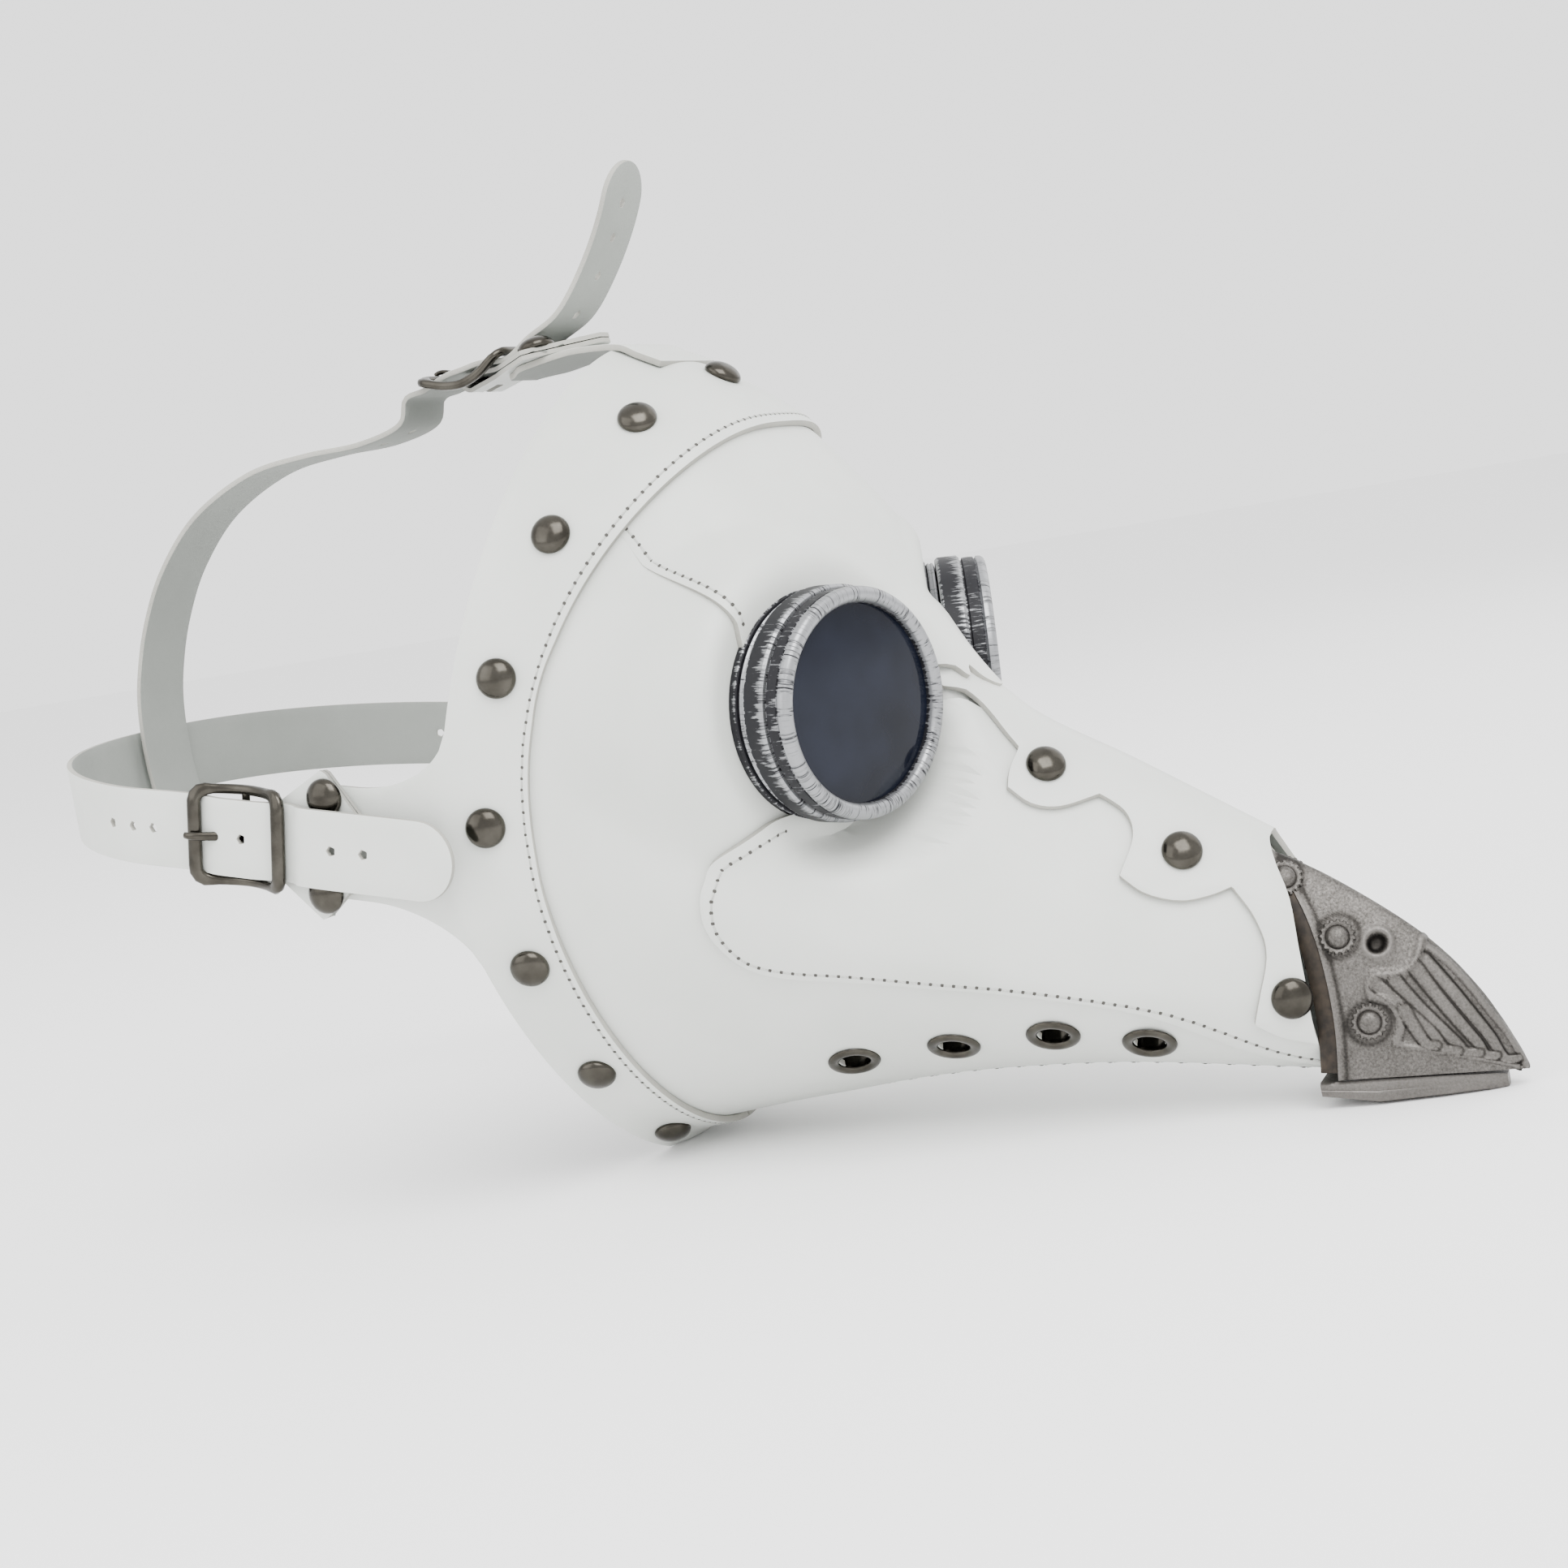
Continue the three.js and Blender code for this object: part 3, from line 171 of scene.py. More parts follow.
def finish_with(obj: bpy.types.Object, kind: str, **settings: object) -> None:
    """Adds a modifier to a piece and applies it.

    Args:
        obj: The piece.
        kind: The modifier's type.
        settings: Its properties.
    """
    only(obj)
    bpy.ops.object.modifier_add(type=kind)
    modifier = obj.modifiers[-1]
    for name, value in settings.items():
        setattr(modifier, name, value)
    bpy.ops.object.modifier_apply(modifier=modifier.name)


def new_piece(name: str, points: Array, faces: Iterable[Sequence[int]]) -> bpy.types.Object:
    """A mesh object from design points.

    Args:
        name: The piece's name.
        points: Its points, in design millimetres.
        faces: Its faces, as point numbers.

    Returns:
        The object, in the row frame.
    """
    mesh = bpy.data.meshes.new(name)
    placed = (np.asarray(points, float) + (0, ROW_SHIFT, 0)) * MM
    mesh.from_pydata(placed.tolist(), [], [list(map(int, face)) for face in faces])
    mesh.validate()
    obj = bpy.data.objects.new(name, mesh)
    bpy.context.scene.collection.objects.link(obj)
    return obj


def outward(obj: bpy.types.Object) -> None:
    """Merges doubles and turns every face of a closed piece outwards."""
    only(obj)
    bpy.ops.object.mode_set(mode="EDIT")
    bpy.ops.mesh.select_all(action="SELECT")
    bpy.ops.mesh.remove_doubles(threshold=1e-6)
    bpy.ops.mesh.normals_make_consistent(inside=False)
    bpy.ops.object.mode_set(mode="OBJECT")


def shade(obj: bpy.types.Object, angle: float = 35) -> None:
    """Smooths a piece's shading up to an angle between faces."""
    only(obj)
    bpy.ops.object.shade_smooth_by_angle(angle=math.radians(angle))


def mirrored(obj: bpy.types.Object, name: str) -> bpy.types.Object:
    """A copy of a piece on the other side of the middle plane, with its own mesh."""
    twin = obj.copy()
    twin.data = obj.data.copy()
    twin.name = name
    twin.data.name = name
    bpy.context.scene.collection.objects.link(twin)
    twin.data.transform(Matrix.Diagonal((-1, 1, 1, 1)))
    twin.data.flip_normals()
    return twin


def merged(name: str, parts: Sequence[bpy.types.Object]) -> bpy.types.Object:
    """Joins several meshes in one piece."""
    only(parts[0])
    for part in parts:
        part.select_set(True)
    bpy.ops.object.join()
    parts[0].name = name
    parts[0].data.name = name
    return parts[0]


def grid_faces(rows: int, columns: int, wrap: bool = False) -> list[tuple[int, int, int, int]]:
    """Quads of a grid of points, closed round its columns if wanted."""
    last = columns if wrap else columns - 1
    return [
        (i * columns + j, i * columns + (j + 1) % columns,
         (i + 1) * columns + (j + 1) % columns, (i + 1) * columns + j)
        for i in range(rows - 1)
        for j in range(last)
    ]


def axis_matrix(origin: Array, direction: Array, lead: Array | None = None) -> Matrix:
    """A matrix whose Z runs along a direction, from a point of the design frame."""
    z = Vector(unit(np.asarray(direction, float)))
    hint = Vector(lead) if lead is not None else Vector((0, 0, 1))
    if abs(hint.normalized().dot(z)) > 0.98:
        hint = Vector((0, 1, 0))
    x = hint.cross(z).normalized()
    y = z.cross(x)
    return Matrix.Translation(Vector(origin)) @ Matrix((x, y, z)).transposed().to_4x4()


def settle(obj: bpy.types.Object, place: Matrix) -> bpy.types.Object:
    """Moves a mesh made in millimetres round the origin to its place in the row frame."""
    shift = Matrix.Translation(Vector((0, ROW_SHIFT, 0)))
    obj.data.transform(Matrix.Scale(MM, 4) @ shift @ place)
    obj.matrix_world = Matrix.Identity(4)
    return obj


def note(obj: bpy.types.Object, name: str, values: Array) -> None:
    """Keeps one number for each point of a piece, for its material to read."""
    attribute = obj.data.attributes.new(name, "FLOAT", "POINT")
    attribute.data.foreach_set("value", values.astype(np.float32))


def turned(name: str, profile: Sequence[tuple[float, float]], place: Matrix,
           steps: int = 64, rub: Callable[[Array], Array] | None = None) -> bpy.types.Object:
    """Spins a profile round its own Z axis and puts the solid in place.

    Args:
        name: The piece's name.
        profile: (radius, height) pairs, closed on itself or on the axis.
        place: Where the axis goes, in the design frame.
        steps: Sides of the turned shape.
        rub: How worn each point is, from its own coordinates.

    Returns:
        The piece. Its attribute turned holds, in millimetres, the place round the axis
        at the widest radius and the way travelled along the profile.
    """
    bpy.ops.object.select_all(action="DESELECT")
    bpy.ops.mesh.primitive_plane_add(size=1, location=(0, 0, 0))
    obj = bpy.context.object
    obj.name = name
    obj.data.name = name
    mesh = bmesh.new()
    line = [mesh.verts.new((radius, 0, height)) for radius, height in profile]
    for a, b in zip(line[:-1], line[1:]):
        mesh.edges.new((a, b))
    mesh.to_mesh(obj.data)
    mesh.free()
    bpy.ops.object.mode_set(mode="EDIT")
    bpy.ops.mesh.select_all(action="SELECT")
    bpy.ops.mesh.spin(steps=steps, angle=2 * math.pi, center=(0, 0, 0), axis=(0, 0, 1))
    bpy.ops.mesh.select_all(action="SELECT")
    bpy.ops.mesh.remove_doubles(threshold=1e-4)
    bpy.ops.mesh.normals_make_consistent(inside=False)
    bpy.ops.object.mode_set(mode="OBJECT")
    own = np.empty(len(obj.data.vertices) * 3, np.float32)
    obj.data.vertices.foreach_get("co", own)
    own = own.reshape(-1, 3)
    radius = np.hypot(own[:, 0], own[:, 1])
    across = own * (radius.max() / np.maximum(radius, 1e-3))[:, None]
    across[:, 2] = own[:, 2] + radius
    obj.data.attributes.new("turned", "FLOAT_VECTOR", "POINT").data.foreach_set("vector", across.ravel())
    if rub is not None:
        note(obj, "rub", rub(own))
    settle(obj, place)
    shade(obj, 30)
    return obj


def swept(name: str, path: Array, outs: Array, sections: Array, closed: bool) -> bpy.types.Object:
    """Sweeps a section along a path of design points.

    Args:
        name: The piece's name.
        path: The path's points.
        outs: The direction of the section's second axis at each point.
        sections: One section of (across, out) pairs, or one for each point.
        closed: Whether the path is a loop.

    Returns:
        The closed solid.
    """
    count = len(path)
    if closed:
        along = unit(np.roll(path, -1, axis=0) - np.roll(path, 1, axis=0))
    else:
        along = unit(np.gradient(path, axis=0))
    outs = unit(outs - (outs * along).sum(1, keepdims=True) * along)
    across = np.cross(outs, along)
    shapes = np.broadcast_to(sections, (count, *np.shape(sections)[-2:]))
    sides = shapes.shape[1]
    points = path[:, None] + shapes[..., :1] * across[:, None] + shapes[..., 1:] * outs[:, None]
    rows = np.vstack((points, points[:1])) if closed else points
    faces = grid_faces(len(rows), sides, wrap=True)
    if not closed:
        faces += [tuple(range(sides)), tuple(range(count * sides - sides, count * sides))]
    obj = new_piece(name, rows.reshape(-1, 3), faces)
    outward(obj)
    return obj


# ---------------------------------------------------------------- the leather form
@dataclass
class LeatherForm:
    """The surface that the panels are stretched over, as stations along the mask.

    A place on it is a station s, from the rear rim (0) to the beak's front edge (8), and a share
    t round the section, from the top (0) to the bottom (1), below zero on the wearer's left.
    """

    rows: int = 221
    columns: int = 161
    first: float = -0.4
    last: float = 8.4
    seat_radius: float = 34.0
    eye: Array = field(default_factory=lambda: at(41.8, 83.3, 122))
    eye_yaw: float = 21.5
    eye_tilt: float = 3.0
    # top f, top u, widest r, f, u, low f, low u, upper power, lower power, lean
    stations: tuple = (
        (31, 220.5, 80, -8, 97, 4, 0, 2.1, 1.65, 1.3),
        (54, 207.7, 76, 4, 101, 11, 5, 2.3, 1.75, 1.5),
        (70, 193, 71.5, 15, 92, 24, 7.5, 2.9, 1.8, 1.6),
        (84, 172, 70.5, 34, 88, 42, 10, 3.1, 1.75, 1.7),
        (93, 152, 68, 54, 82, 62, 12, 3.2, 1.65, 1.8),
        (103, 133, 61, 75, 72, 83, 14, 1.6, 1.5, 1.8),
        (122, 107, 49, 102, 57, 108, 15, 1.25, 1.45, 1.6),
        (152, 87, 33, 140, 42, 144, 14, 1.25, 1.45, 1.5),
        (185, 65, 14.5, 190, 30, 195, 9, 1.4, 1.7, 1.4),
    )

    def __post_init__(self) -> None:
        """Works out the direction of the goggles and the grid of the form."""
        yaw, tilt = math.radians(self.eye_yaw), math.radians(self.eye_tilt)
        flat = math.cos(tilt)
        self.eye_axis = at(math.sin(yaw) * flat, math.cos(yaw) * flat, -math.sin(tilt))
        self.points, self.normals, self.girth = self._grid()

    def _section(self, s: Array) -> Array:
        """The ten values of the section at each station."""
        table = np.array(self.stations, float)
        table = np.vstack((2 * table[0] - table[1], table, 2 * table[-1] - table[-2]))
        i = np.clip(np.floor(s).astype(int), 0, len(self.stations) - 2)
        t = (s - i)[:, None]
        a, b, c, d = (table[i + k] for k in range(4))
        return 0.5 * (2 * b + (c - a) * t + (2 * a - 5 * b + 4 * c - d) * t**2
                      + (3 * b - a - 3 * c + d) * t**3)

    def _grid(self) -> tuple[Array, Array, Array]:
        """The form as rows of points, their normals and half the girth of each row."""
        stations = np.linspace(self.first, self.last, self.rows)
        parts = self._section(stations)[:, :, None]
        top_f, top_u, wide, f0, u0, low_f, low_u, upper, lower, lean = np.moveaxis(parts, 1, 0)
        turn = np.linspace(0, np.pi, 241)[None]
        c, q, over = np.abs(np.cos(turn)), np.sin(turn), turn <= np.pi / 2
        power = 2 / np.where(over, upper, lower)
        r = wide * np.abs(q) ** power
        f = f0 + np.where(over, (top_f - f0) * c**lean, (low_f - f0) * c**1.6)
        u = u0 + np.where(over, top_u - u0, low_u - u0) * c**power
        fine = np.stack((-r, -f, u), -1)
        step = np.linalg.norm(np.diff(fine, axis=1), axis=2)
        run = np.concatenate((np.zeros((self.rows, 1)), np.cumsum(step, axis=1)), axis=1)
        share = np.linspace(0, 1, self.columns)
        points = np.array([
            [np.interp(share * length[-1], length, row[:, k]) for k in range(3)]
            for row, length in zip(fine, run)
        ]).transpose(0, 2, 1)
        points = self._seated(points)
        along, round_ = np.gradient(points, axis=0), np.gradient(points, axis=1)
        normals = np.cross(round_, along)
        if normals[self.rows // 2, self.columns // 2, 0] > 0:
            normals = -normals
        normals[:, (0, -1), 0] = 0
        points[:, (0, -1), 0] = 0
        return points, unit(normals), run[:, -1]

    def _seated(self, points: Array) -> Array:
        """The form pressed flat round the goggle's seat."""
        away = points - self.eye
        height = away @ self.eye_axis
        radius = np.sqrt(np.maximum((away**2).sum(-1) - height**2, 0))
        outward_share = -away[..., 0] / np.maximum(radius, 1)
        reach = self.seat_radius + 6 + 6 * np.clip(1 + outward_share, 0, 2)
        t = np.clip((radius - self.seat_radius) / (reach - self.seat_radius), 0, 1)
        hold = 1 - t * t * (3 - 2 * t)
        return points - (height * hold)[..., None] * self.eye_axis

    def place(self, s: Array, t: Array) -> tuple[Array, Array]:
        """Points and normals of the form.

        Args:
            s: Stations.
            t: Shares round the section, below zero on the left.

        Returns:
            The points and the unit normals, in the design frame.
        """
        s, t = np.atleast_1d(s).astype(float), np.atleast_1d(t).astype(float)
        x = np.clip((s - self.first) / (self.last - self.first), 0, 1) * (self.rows - 1)
        y = np.clip(np.abs(t), 0, 1) * (self.columns - 1)
        i = np.minimum(x.astype(int), self.rows - 2)
        j = np.minimum(y.astype(int), self.columns - 2)
        a, b = (x - i)[:, None], (y - j)[:, None]
        out = []
        for table in (self.points, self.normals):
            near = table[i, j] * (1 - b) + table[i, j + 1] * b
            far = table[i + 1, j] * (1 - b) + table[i + 1, j + 1] * b
            value = near * (1 - a) + far * a
            value[t < 0, 0] *= -1
            out.append(value)
        return out[0], unit(out[1])

    def locate(self, outline: Sequence[Sequence[float]]) -> Array:
        """The places on the right half that a side view shows at (f, u) points."""
        wanted = np.asarray(outline, float) * (-1, 1)
        flat = self.points[..., 1:].reshape(-1, 2)
        found = np.array([((flat - w) ** 2).sum(1).argmin() for w in wanted])
        s = self.first + (found // self.columns) * (self.last - self.first) / (self.rows - 1)
        t = (found % self.columns) / (self.columns - 1)
        for _ in range(4):
            here = self.place(s, t)[0][:, 1:]
            ds = (self.place(s + 0.02, t)[0][:, 1:] - here) / 0.02
            dt = (self.place(s, np.minimum(t + 0.004, 1))[0][:, 1:] - here) / 0.004
            miss = wanted - here
            det = ds[:, 0] * dt[:, 1] - ds[:, 1] * dt[:, 0]
            safe = np.where(np.abs(det) < 20, np.inf, det)
            step_s = (miss[:, 0] * dt[:, 1] - miss[:, 1] * dt[:, 0]) / safe
            step_t = (ds[:, 0] * miss[:, 1] - ds[:, 1] * miss[:, 0]) / safe
            new_s, new_t = s + np.clip(step_s, -0.1, 0.1), np.clip(t + np.clip(step_t, -0.02, 0.02), 0, 1)
            better = (((wanted - self.place(new_s, new_t)[0][:, 1:]) ** 2).sum(1)
                      < (miss**2).sum(1))
            s, t = np.where(better, new_s, s), np.where(better, new_t, t)
        return np.column_stack((s, t))

    def share(self, s: Array, width: Array) -> Array:
        """The share round the section at a distance in millimetres from the top."""
        stations = np.linspace(self.first, self.last, self.rows)
        return np.asarray(width) / np.interp(s, stations, self.girth)


FORM = LeatherForm()


# ---------------------------------------------------------------- cut leather
def inside(points: Array, loop: Array) -> Array:
    """Which points of the plane lie inside a loop."""
    x, y = points[:, 0], points[:, 1]
    result = np.zeros(len(points), bool)
    for (x0, y0), (x1, y1) in zip(loop, np.roll(loop, -1, axis=0)):
        if y0 == y1:
            continue
        crosses = (y0 > y) != (y1 > y)
        result ^= crosses & (x < (x1 - x0) * (y - y0) / (y1 - y0) + x0)
    return result


def near_loop(points: Array, loop: Array, reach: float) -> Array:
    """Which points of the plane lie within reach of a loop's edges."""
    result = np.zeros(len(points), bool)
    for a, b in zip(loop, np.roll(loop, -1, axis=0)):
        edge = b - a
        t = np.clip(((points - a) @ edge) / max(edge @ edge, 1e-12), 0, 1)
        result |= ((points - a - t[:, None] * edge) ** 2).sum(1) < reach**2
    return result


@dataclass
class Sheet:
    """A piece of leather cut to an outline on a surface, with a thickness and eased edges."""

    name: str
    outline: Array
    surface: Surface
    scale: tuple[float, float] = (20.0, 220.0)
    holes: Sequence[Array] = ()
    thickness: float = LEATHER
    spacing: float = 2.4
    rim: float = 1.3
    ease: float = 0.35
    keep: Callable[[Array], Array] | None = None

    def build(self, dress: "LeatherFinish") -> bpy.types.Object:
        """Cuts the sheet, gives it its thickness and eases its edges.

        Args:
            dress: The leather it is made of.

        Returns:
            The piece, with the grain, back and edge materials on it.
        """
        scale = np.array(self.scale)
        loops = [resampled(np.vstack((loop, loop[:1])), self.rim, self.scale)[:-1] * scale
                 for loop in (self.outline, *self.holes)]
        flat = self._scatter(loops)
        edges, start = [], 0
        for loop in loops:
            count = len(loop)
            edges += [(start + k, start + (k + 1) % count) for k in range(count)]
            start += count
        verts, _, faces, *_ = delaunay_2d_cdt([Vector(p) for p in flat], edges, [], 0, 1e-5)
        plane = np.array([v[:] for v in verts])
        faces = np.array([face[:] for face in faces])
        middle = plane[faces].mean(1)
        wanted = inside(middle, loops[0])
        for loop in loops[1:]:
            wanted &= ~inside(middle, loop)
        points, normals = self.surface(plane[:, 0] / scale[0], plane[:, 1] / scale[1])
        if self.keep is not None:
            wanted &= self.keep(points[faces].mean(1))
        faces = faces[wanted]
        corner = points[faces]
        facing = np.cross(corner[:, 1] - corner[:, 0], corner[:, 2] - corner[:, 0])
        if (facing * normals[faces[:, 0]]).sum() < 0:
            faces = faces[:, ::-1]
        used, order = np.unique(faces, return_inverse=True)
        obj = new_piece(self.name, points[used], order.reshape(-1, 3))
        only(obj)
        bpy.ops.object.mode_set(mode="EDIT")
        bpy.ops.mesh.select_all(action="SELECT")
        bpy.ops.mesh.remove_doubles(threshold=1e-6)
        bpy.ops.object.mode_set(mode="OBJECT")
        dress.put_on(obj)
        finish_with(obj, "SOLIDIFY", thickness=self.thickness * MM, offset=-1.0,
                    material_offset=Face.BACK.value, material_offset_rim=Face.EDGE.value)
        finish_with(obj, "BEVEL", width=self.ease * MM, segments=2, limit_method="ANGLE",
                    angle_limit=math.radians(62))
        shade(obj, 40)
        return obj

    def _scatter(self, loops: Sequence[Array]) -> Array:
        """The loops' points and a staggered grid of points between them."""
        low, high = loops[0].min(0), loops[0].max(0)
        step = self.spacing
        rows = np.arange(low[1], high[1], step * 0.866)
        grid = np.array([
            (x, y) for k, y in enumerate(rows)
            for x in np.arange(low[0] + (k % 2) * step / 2, high[0], step)
        ]).reshape(-1, 2)
        if len(grid):
            fits = inside(grid, loops[0])
            for k, loop in enumerate(loops):
                fits &= ~near_loop(grid, loop, step * 0.55)
                if k:
                    fits &= ~inside(grid, loop)
            grid = grid[fits]
        return np.vstack((*loops, grid))


def lifted(lift: float | Callable[[Array], Array]) -> Surface:
    """The form's surface raised by a height in millimetres, the same all over or by station."""

    def surface(s: Array, t: Array) -> tuple[Array, Array]:
        """Points and normals of the raised form."""
        points, normals = FORM.place(s, t)
        height = lift(s) if callable(lift) else np.full(len(points), lift)
        return points + normals * height[:, None], normals

    return surface


@dataclass
class Seam:
    """A line of stitches along a path on a surface."""

    name: str
    path: Array
    surface: Surface
    pitch: float = 2.9
    thread: float = 0.24
    # size of the dark bead painted as the shade inside a needle hole
    hole: float = 0.58
    sag: float = 0.1
    zigzag: float = 0.0

    def build(self, finish: "ThreadFinish") -> bpy.types.Object:
        """Lays a thread from hole to hole.

        Args:
            finish: The thread's finish, with the painted shade of its holes.

        Returns:
            One piece with all the stitches.
        """
        dense = np.column_stack([np.interp(np.linspace(0, len(self.path) - 1, 8 * len(self.path)),
                                           range(len(self.path)), self.path[:, k]) for k in (0, 1)])
        points, normals = self.surface(dense[:, 0], dense[:, 1])
        line = resampled(np.hstack((points, normals)), self.pitch, (1, 1, 1, 0, 0, 0))
        points, normals = line[:, :3], unit(line[:, 3:])
        if self.zigzag:
            across = unit(np.cross(np.gradient(points, axis=0), normals))
            sign = np.where(np.arange(len(points)) % 2, 1, -1)[:, None]
            points = points + across * sign * self.zigzag
        verts: list[Array] = []
        faces: list[tuple[int, ...]] = []
        slots: list[int] = []
        for k in range(len(points)):
            self._hole(points[k], normals[k], verts, faces, slots)
            if k + 1 < len(points):
                self._stitch(points[k:k + 2], normals[k:k + 2], verts, faces, slots)
        obj = new_piece(self.name, np.array(verts), faces)
        finish.put_on(obj)
        obj.data.polygons.foreach_set("material_index", slots)
        shade(obj, 80)
        return obj

    def _hole(self, centre: Array, normal: Array, verts: list, faces: list, slots: list) -> None:
        """Adds a flat dark bead, painted shade where the needle's hole sinks into the leather."""
        side = unit(np.cross(normal, (0.3, 0.5, 0.81)))
        other = np.cross(normal, side)
        base = len(verts)
        verts.extend(centre + self.hole * (math.cos(a) * side + math.sin(a) * other)
                     for a in np.arange(6) * math.pi / 3)
        verts.extend((centre + normal * 0.06, centre - normal * 0.2))
        for k in range(6):
            faces.append((base + k, base + (k + 1) % 6, base + 6))
            faces.append((base + (k + 1) % 6, base + k, base + 7))
            slots.extend((1, 1))

    def _stitch(self, ends: Array, normals: Array, verts: list, faces: list, slots: list) -> None:
        """Adds the thread between two holes."""
        base = len(verts)
        gap = 0.1
        normal = unit(normals.sum(0))
        along = unit(ends[1] - ends[0])
        side = np.cross(normal, along)
        for share, size, height in ((gap, 0.5, -0.6), (0.24, 1, 0.3), (0.76, 1, 0.3), (1 - gap, 0.5, -0.6)):
            middle = ends[0] + (ends[1] - ends[0]) * share + normal * self.thread * height
            for a in np.arange(5) * 2 * math.pi / 5:
                round_ = math.cos(a) * side + math.sin(a) * normal
                verts.append(middle + self.thread * size * round_)
        for i in range(3):
            for j in range(5):
                near, far = base + i * 5, base + (i + 1) * 5
                faces.append((near + j, near + (j + 1) % 5, far + (j + 1) % 5, far + j))
                slots.append(0)
        faces.append(tuple(base + j for j in range(4, -1, -1)))
        faces.append(tuple(base + 15 + j for j in range(5)))
        slots.extend((0, 0))


# ---------------------------------------------------------------- finishes
class Shader:
    """Places nodes in a tree and joins them."""

    def __init__(self, tree: bpy.types.NodeTree) -> None:
        """Keeps the tree that the nodes go in."""
        self.tree = tree

    def node(self, kind: str, inputs: dict | None = None, **settings: object) -> bpy.types.Node:
        """Adds a node.

        Args:
            kind: The node's type, without its ShaderNode prefix.
            inputs: Values or output sockets for its inputs, by name or number.
            settings: The node's own properties.

        Returns:
            The node.
        """
        node = self.tree.nodes.new("ShaderNode" + kind)
        for name, value in settings.items():
            setattr(node, name, value)
        for name, value in (inputs or {}).items():
            if isinstance(value, bpy.types.NodeSocket):
                self.tree.links.new(value, node.inputs[name])
            else:
                node.inputs[name].default_value = value
        return node

    def ranged(self, value: bpy.types.NodeSocket, low: float, high: float, start: float = 0,
               end: float = 1) -> bpy.types.NodeSocket:
        """A value mapped from low..high to start..end, held at both ends."""
        levels = {"Value": value, "From Min": low, "From Max": high, "To Min": start, "To Max": end}
        return self.node("MapRange", levels).outputs["Result"]

    def mixed(self, share: object, first: object, second: object) -> bpy.types.NodeSocket:
        """A colour between two."""
        node = self.node("Mix", {0: share, 6: first, 7: second}, data_type="RGBA")
        return node.outputs[2]

    def maths(self, operation: str, first: object, second: object = 0.0) -> bpy.types.NodeSocket:
        """The result of a Math node."""
        return self.node("Math", {0: first, 1: second}, operation=operation).outputs[0]


def effect(name: str, inputs: dict[str, str],
           outputs: Sequence[str]) -> tuple[Shader, dict, bpy.types.Node]:
    """Starts a node group for an effect that several materials share.

    Args:
        name: The group's name.
        inputs: Its inputs' names, each with Float or Vector.
        outputs: The names of its values.

    Returns:
        The shader helper, the inputs' sockets by name and the output node.
    """
    tree = bpy.data.node_groups.new(name, "ShaderNodeTree")
    for label, kind in inputs.items():
        tree.interface.new_socket(name=label, in_out="INPUT", socket_type="NodeSocket" + kind)
    for label in outputs:
        tree.interface.new_socket(name=label, in_out="OUTPUT", socket_type="NodeSocketFloat")
    entry, leave = tree.nodes.new("NodeGroupInput"), tree.nodes.new("NodeGroupOutput")
    return Shader(tree), {label: entry.outputs[label] for label in inputs}, leave


def grain_effect() -> bpy.types.NodeTree:
    """Fine leather pores with wide soft undulations."""
    sh, sockets, leave = effect("leather_grain", {"Vector": "Vector", "Scale": "Float"},
                                ("Height", "Mottle"))
    pores = sh.node("TexVoronoi", {"Vector": sockets["Vector"], "Scale": sockets["Scale"]},
                    feature="SMOOTH_F1")
    fine = sh.node("TexNoise", {"Vector": sockets["Vector"], "Detail": 4.0,
                                "Scale": sh.maths("MULTIPLY", sockets["Scale"], 0.21)})
    wide = sh.node("TexNoise", {"Vector": sockets["Vector"], "Scale": 22.0, "Detail": 3.0})
    height = sh.maths("ADD", sh.maths("MULTIPLY", pores.outputs["Distance"], 0.3),
                      sh.maths("MULTIPLY", fine.outputs[0], 0.7))
    sh.tree.links.new(height, leave.inputs["Height"])
    sh.tree.links.new(wide.outputs[0], leave.inputs["Mottle"])
    return sh.tree


def brush_effect() -> bpy.types.NodeTree:
    """Silver paint dragged over raised edges, streaked along an axis."""
    inputs = {"Vector": "Vector", "Rub": "Float", "Density": "Float", "Stretch": "Float"}
    sh, sockets, leave = effect("dry_brush", inputs, ("Mask",))
    shape = sh.node("CombineXYZ", {0: sockets["Density"], 1: sockets["Density"],
                                   2: sockets["Stretch"]})
    drawn = sh.node("VectorMath", {0: sockets["Vector"], 1: shape.outputs[0]}, operation="MULTIPLY")
    streak = sh.node("TexNoise", {"Vector": drawn.outputs[0], "Scale": 1.0, "Detail": 5.0,
                                  "Roughness": 0.62})
    blotch = sh.node("TexNoise", {"Vector": sockets["Vector"], "Scale": 0.16, "Detail": 2.0})
    total = sh.maths("ADD", sh.maths("MULTIPLY", streak.outputs[0], 1.15), sockets["Rub"])
    total = sh.maths("ADD", total, sh.maths("MULTIPLY", blotch.outputs[0], 0.35))
    sh.tree.links.new(sh.ranged(total, 1.2, 1.34), leave.inputs["Mask"])
    return sh.tree


def tarnish_effect() -> bpy.types.NodeTree:
    """Clouds and fine speckles on metal."""
    sh, sockets, leave = effect("tarnish", {"Vector": "Vector", "Cloud": "Float", "Speckle": "Float"},
                                ("Cloud", "Speckle"))
    cloud = sh.node("TexNoise", {"Vector": sockets["Vector"], "Scale": sockets["Cloud"], "Detail": 4.0})
    speckle = sh.node("TexNoise", {"Vector": sockets["Vector"], "Scale": sockets["Speckle"],
                                   "Detail": 6.0, "Roughness": 0.7})
    sh.tree.links.new(cloud.outputs[0], leave.inputs["Cloud"])
    sh.tree.links.new(speckle.outputs[0], leave.inputs["Speckle"])
    return sh.tree


GRAIN, BRUSH, TARNISH = grain_effect(), brush_effect(), tarnish_effect()
MADE: dict[str, list[bpy.types.Material]] = {}
Colour = tuple[float, float, float]


def solid_colour(colour: Colour) -> tuple[float, float, float, float]:
    """A colour with full alpha."""
    return (*colour, 1.0)


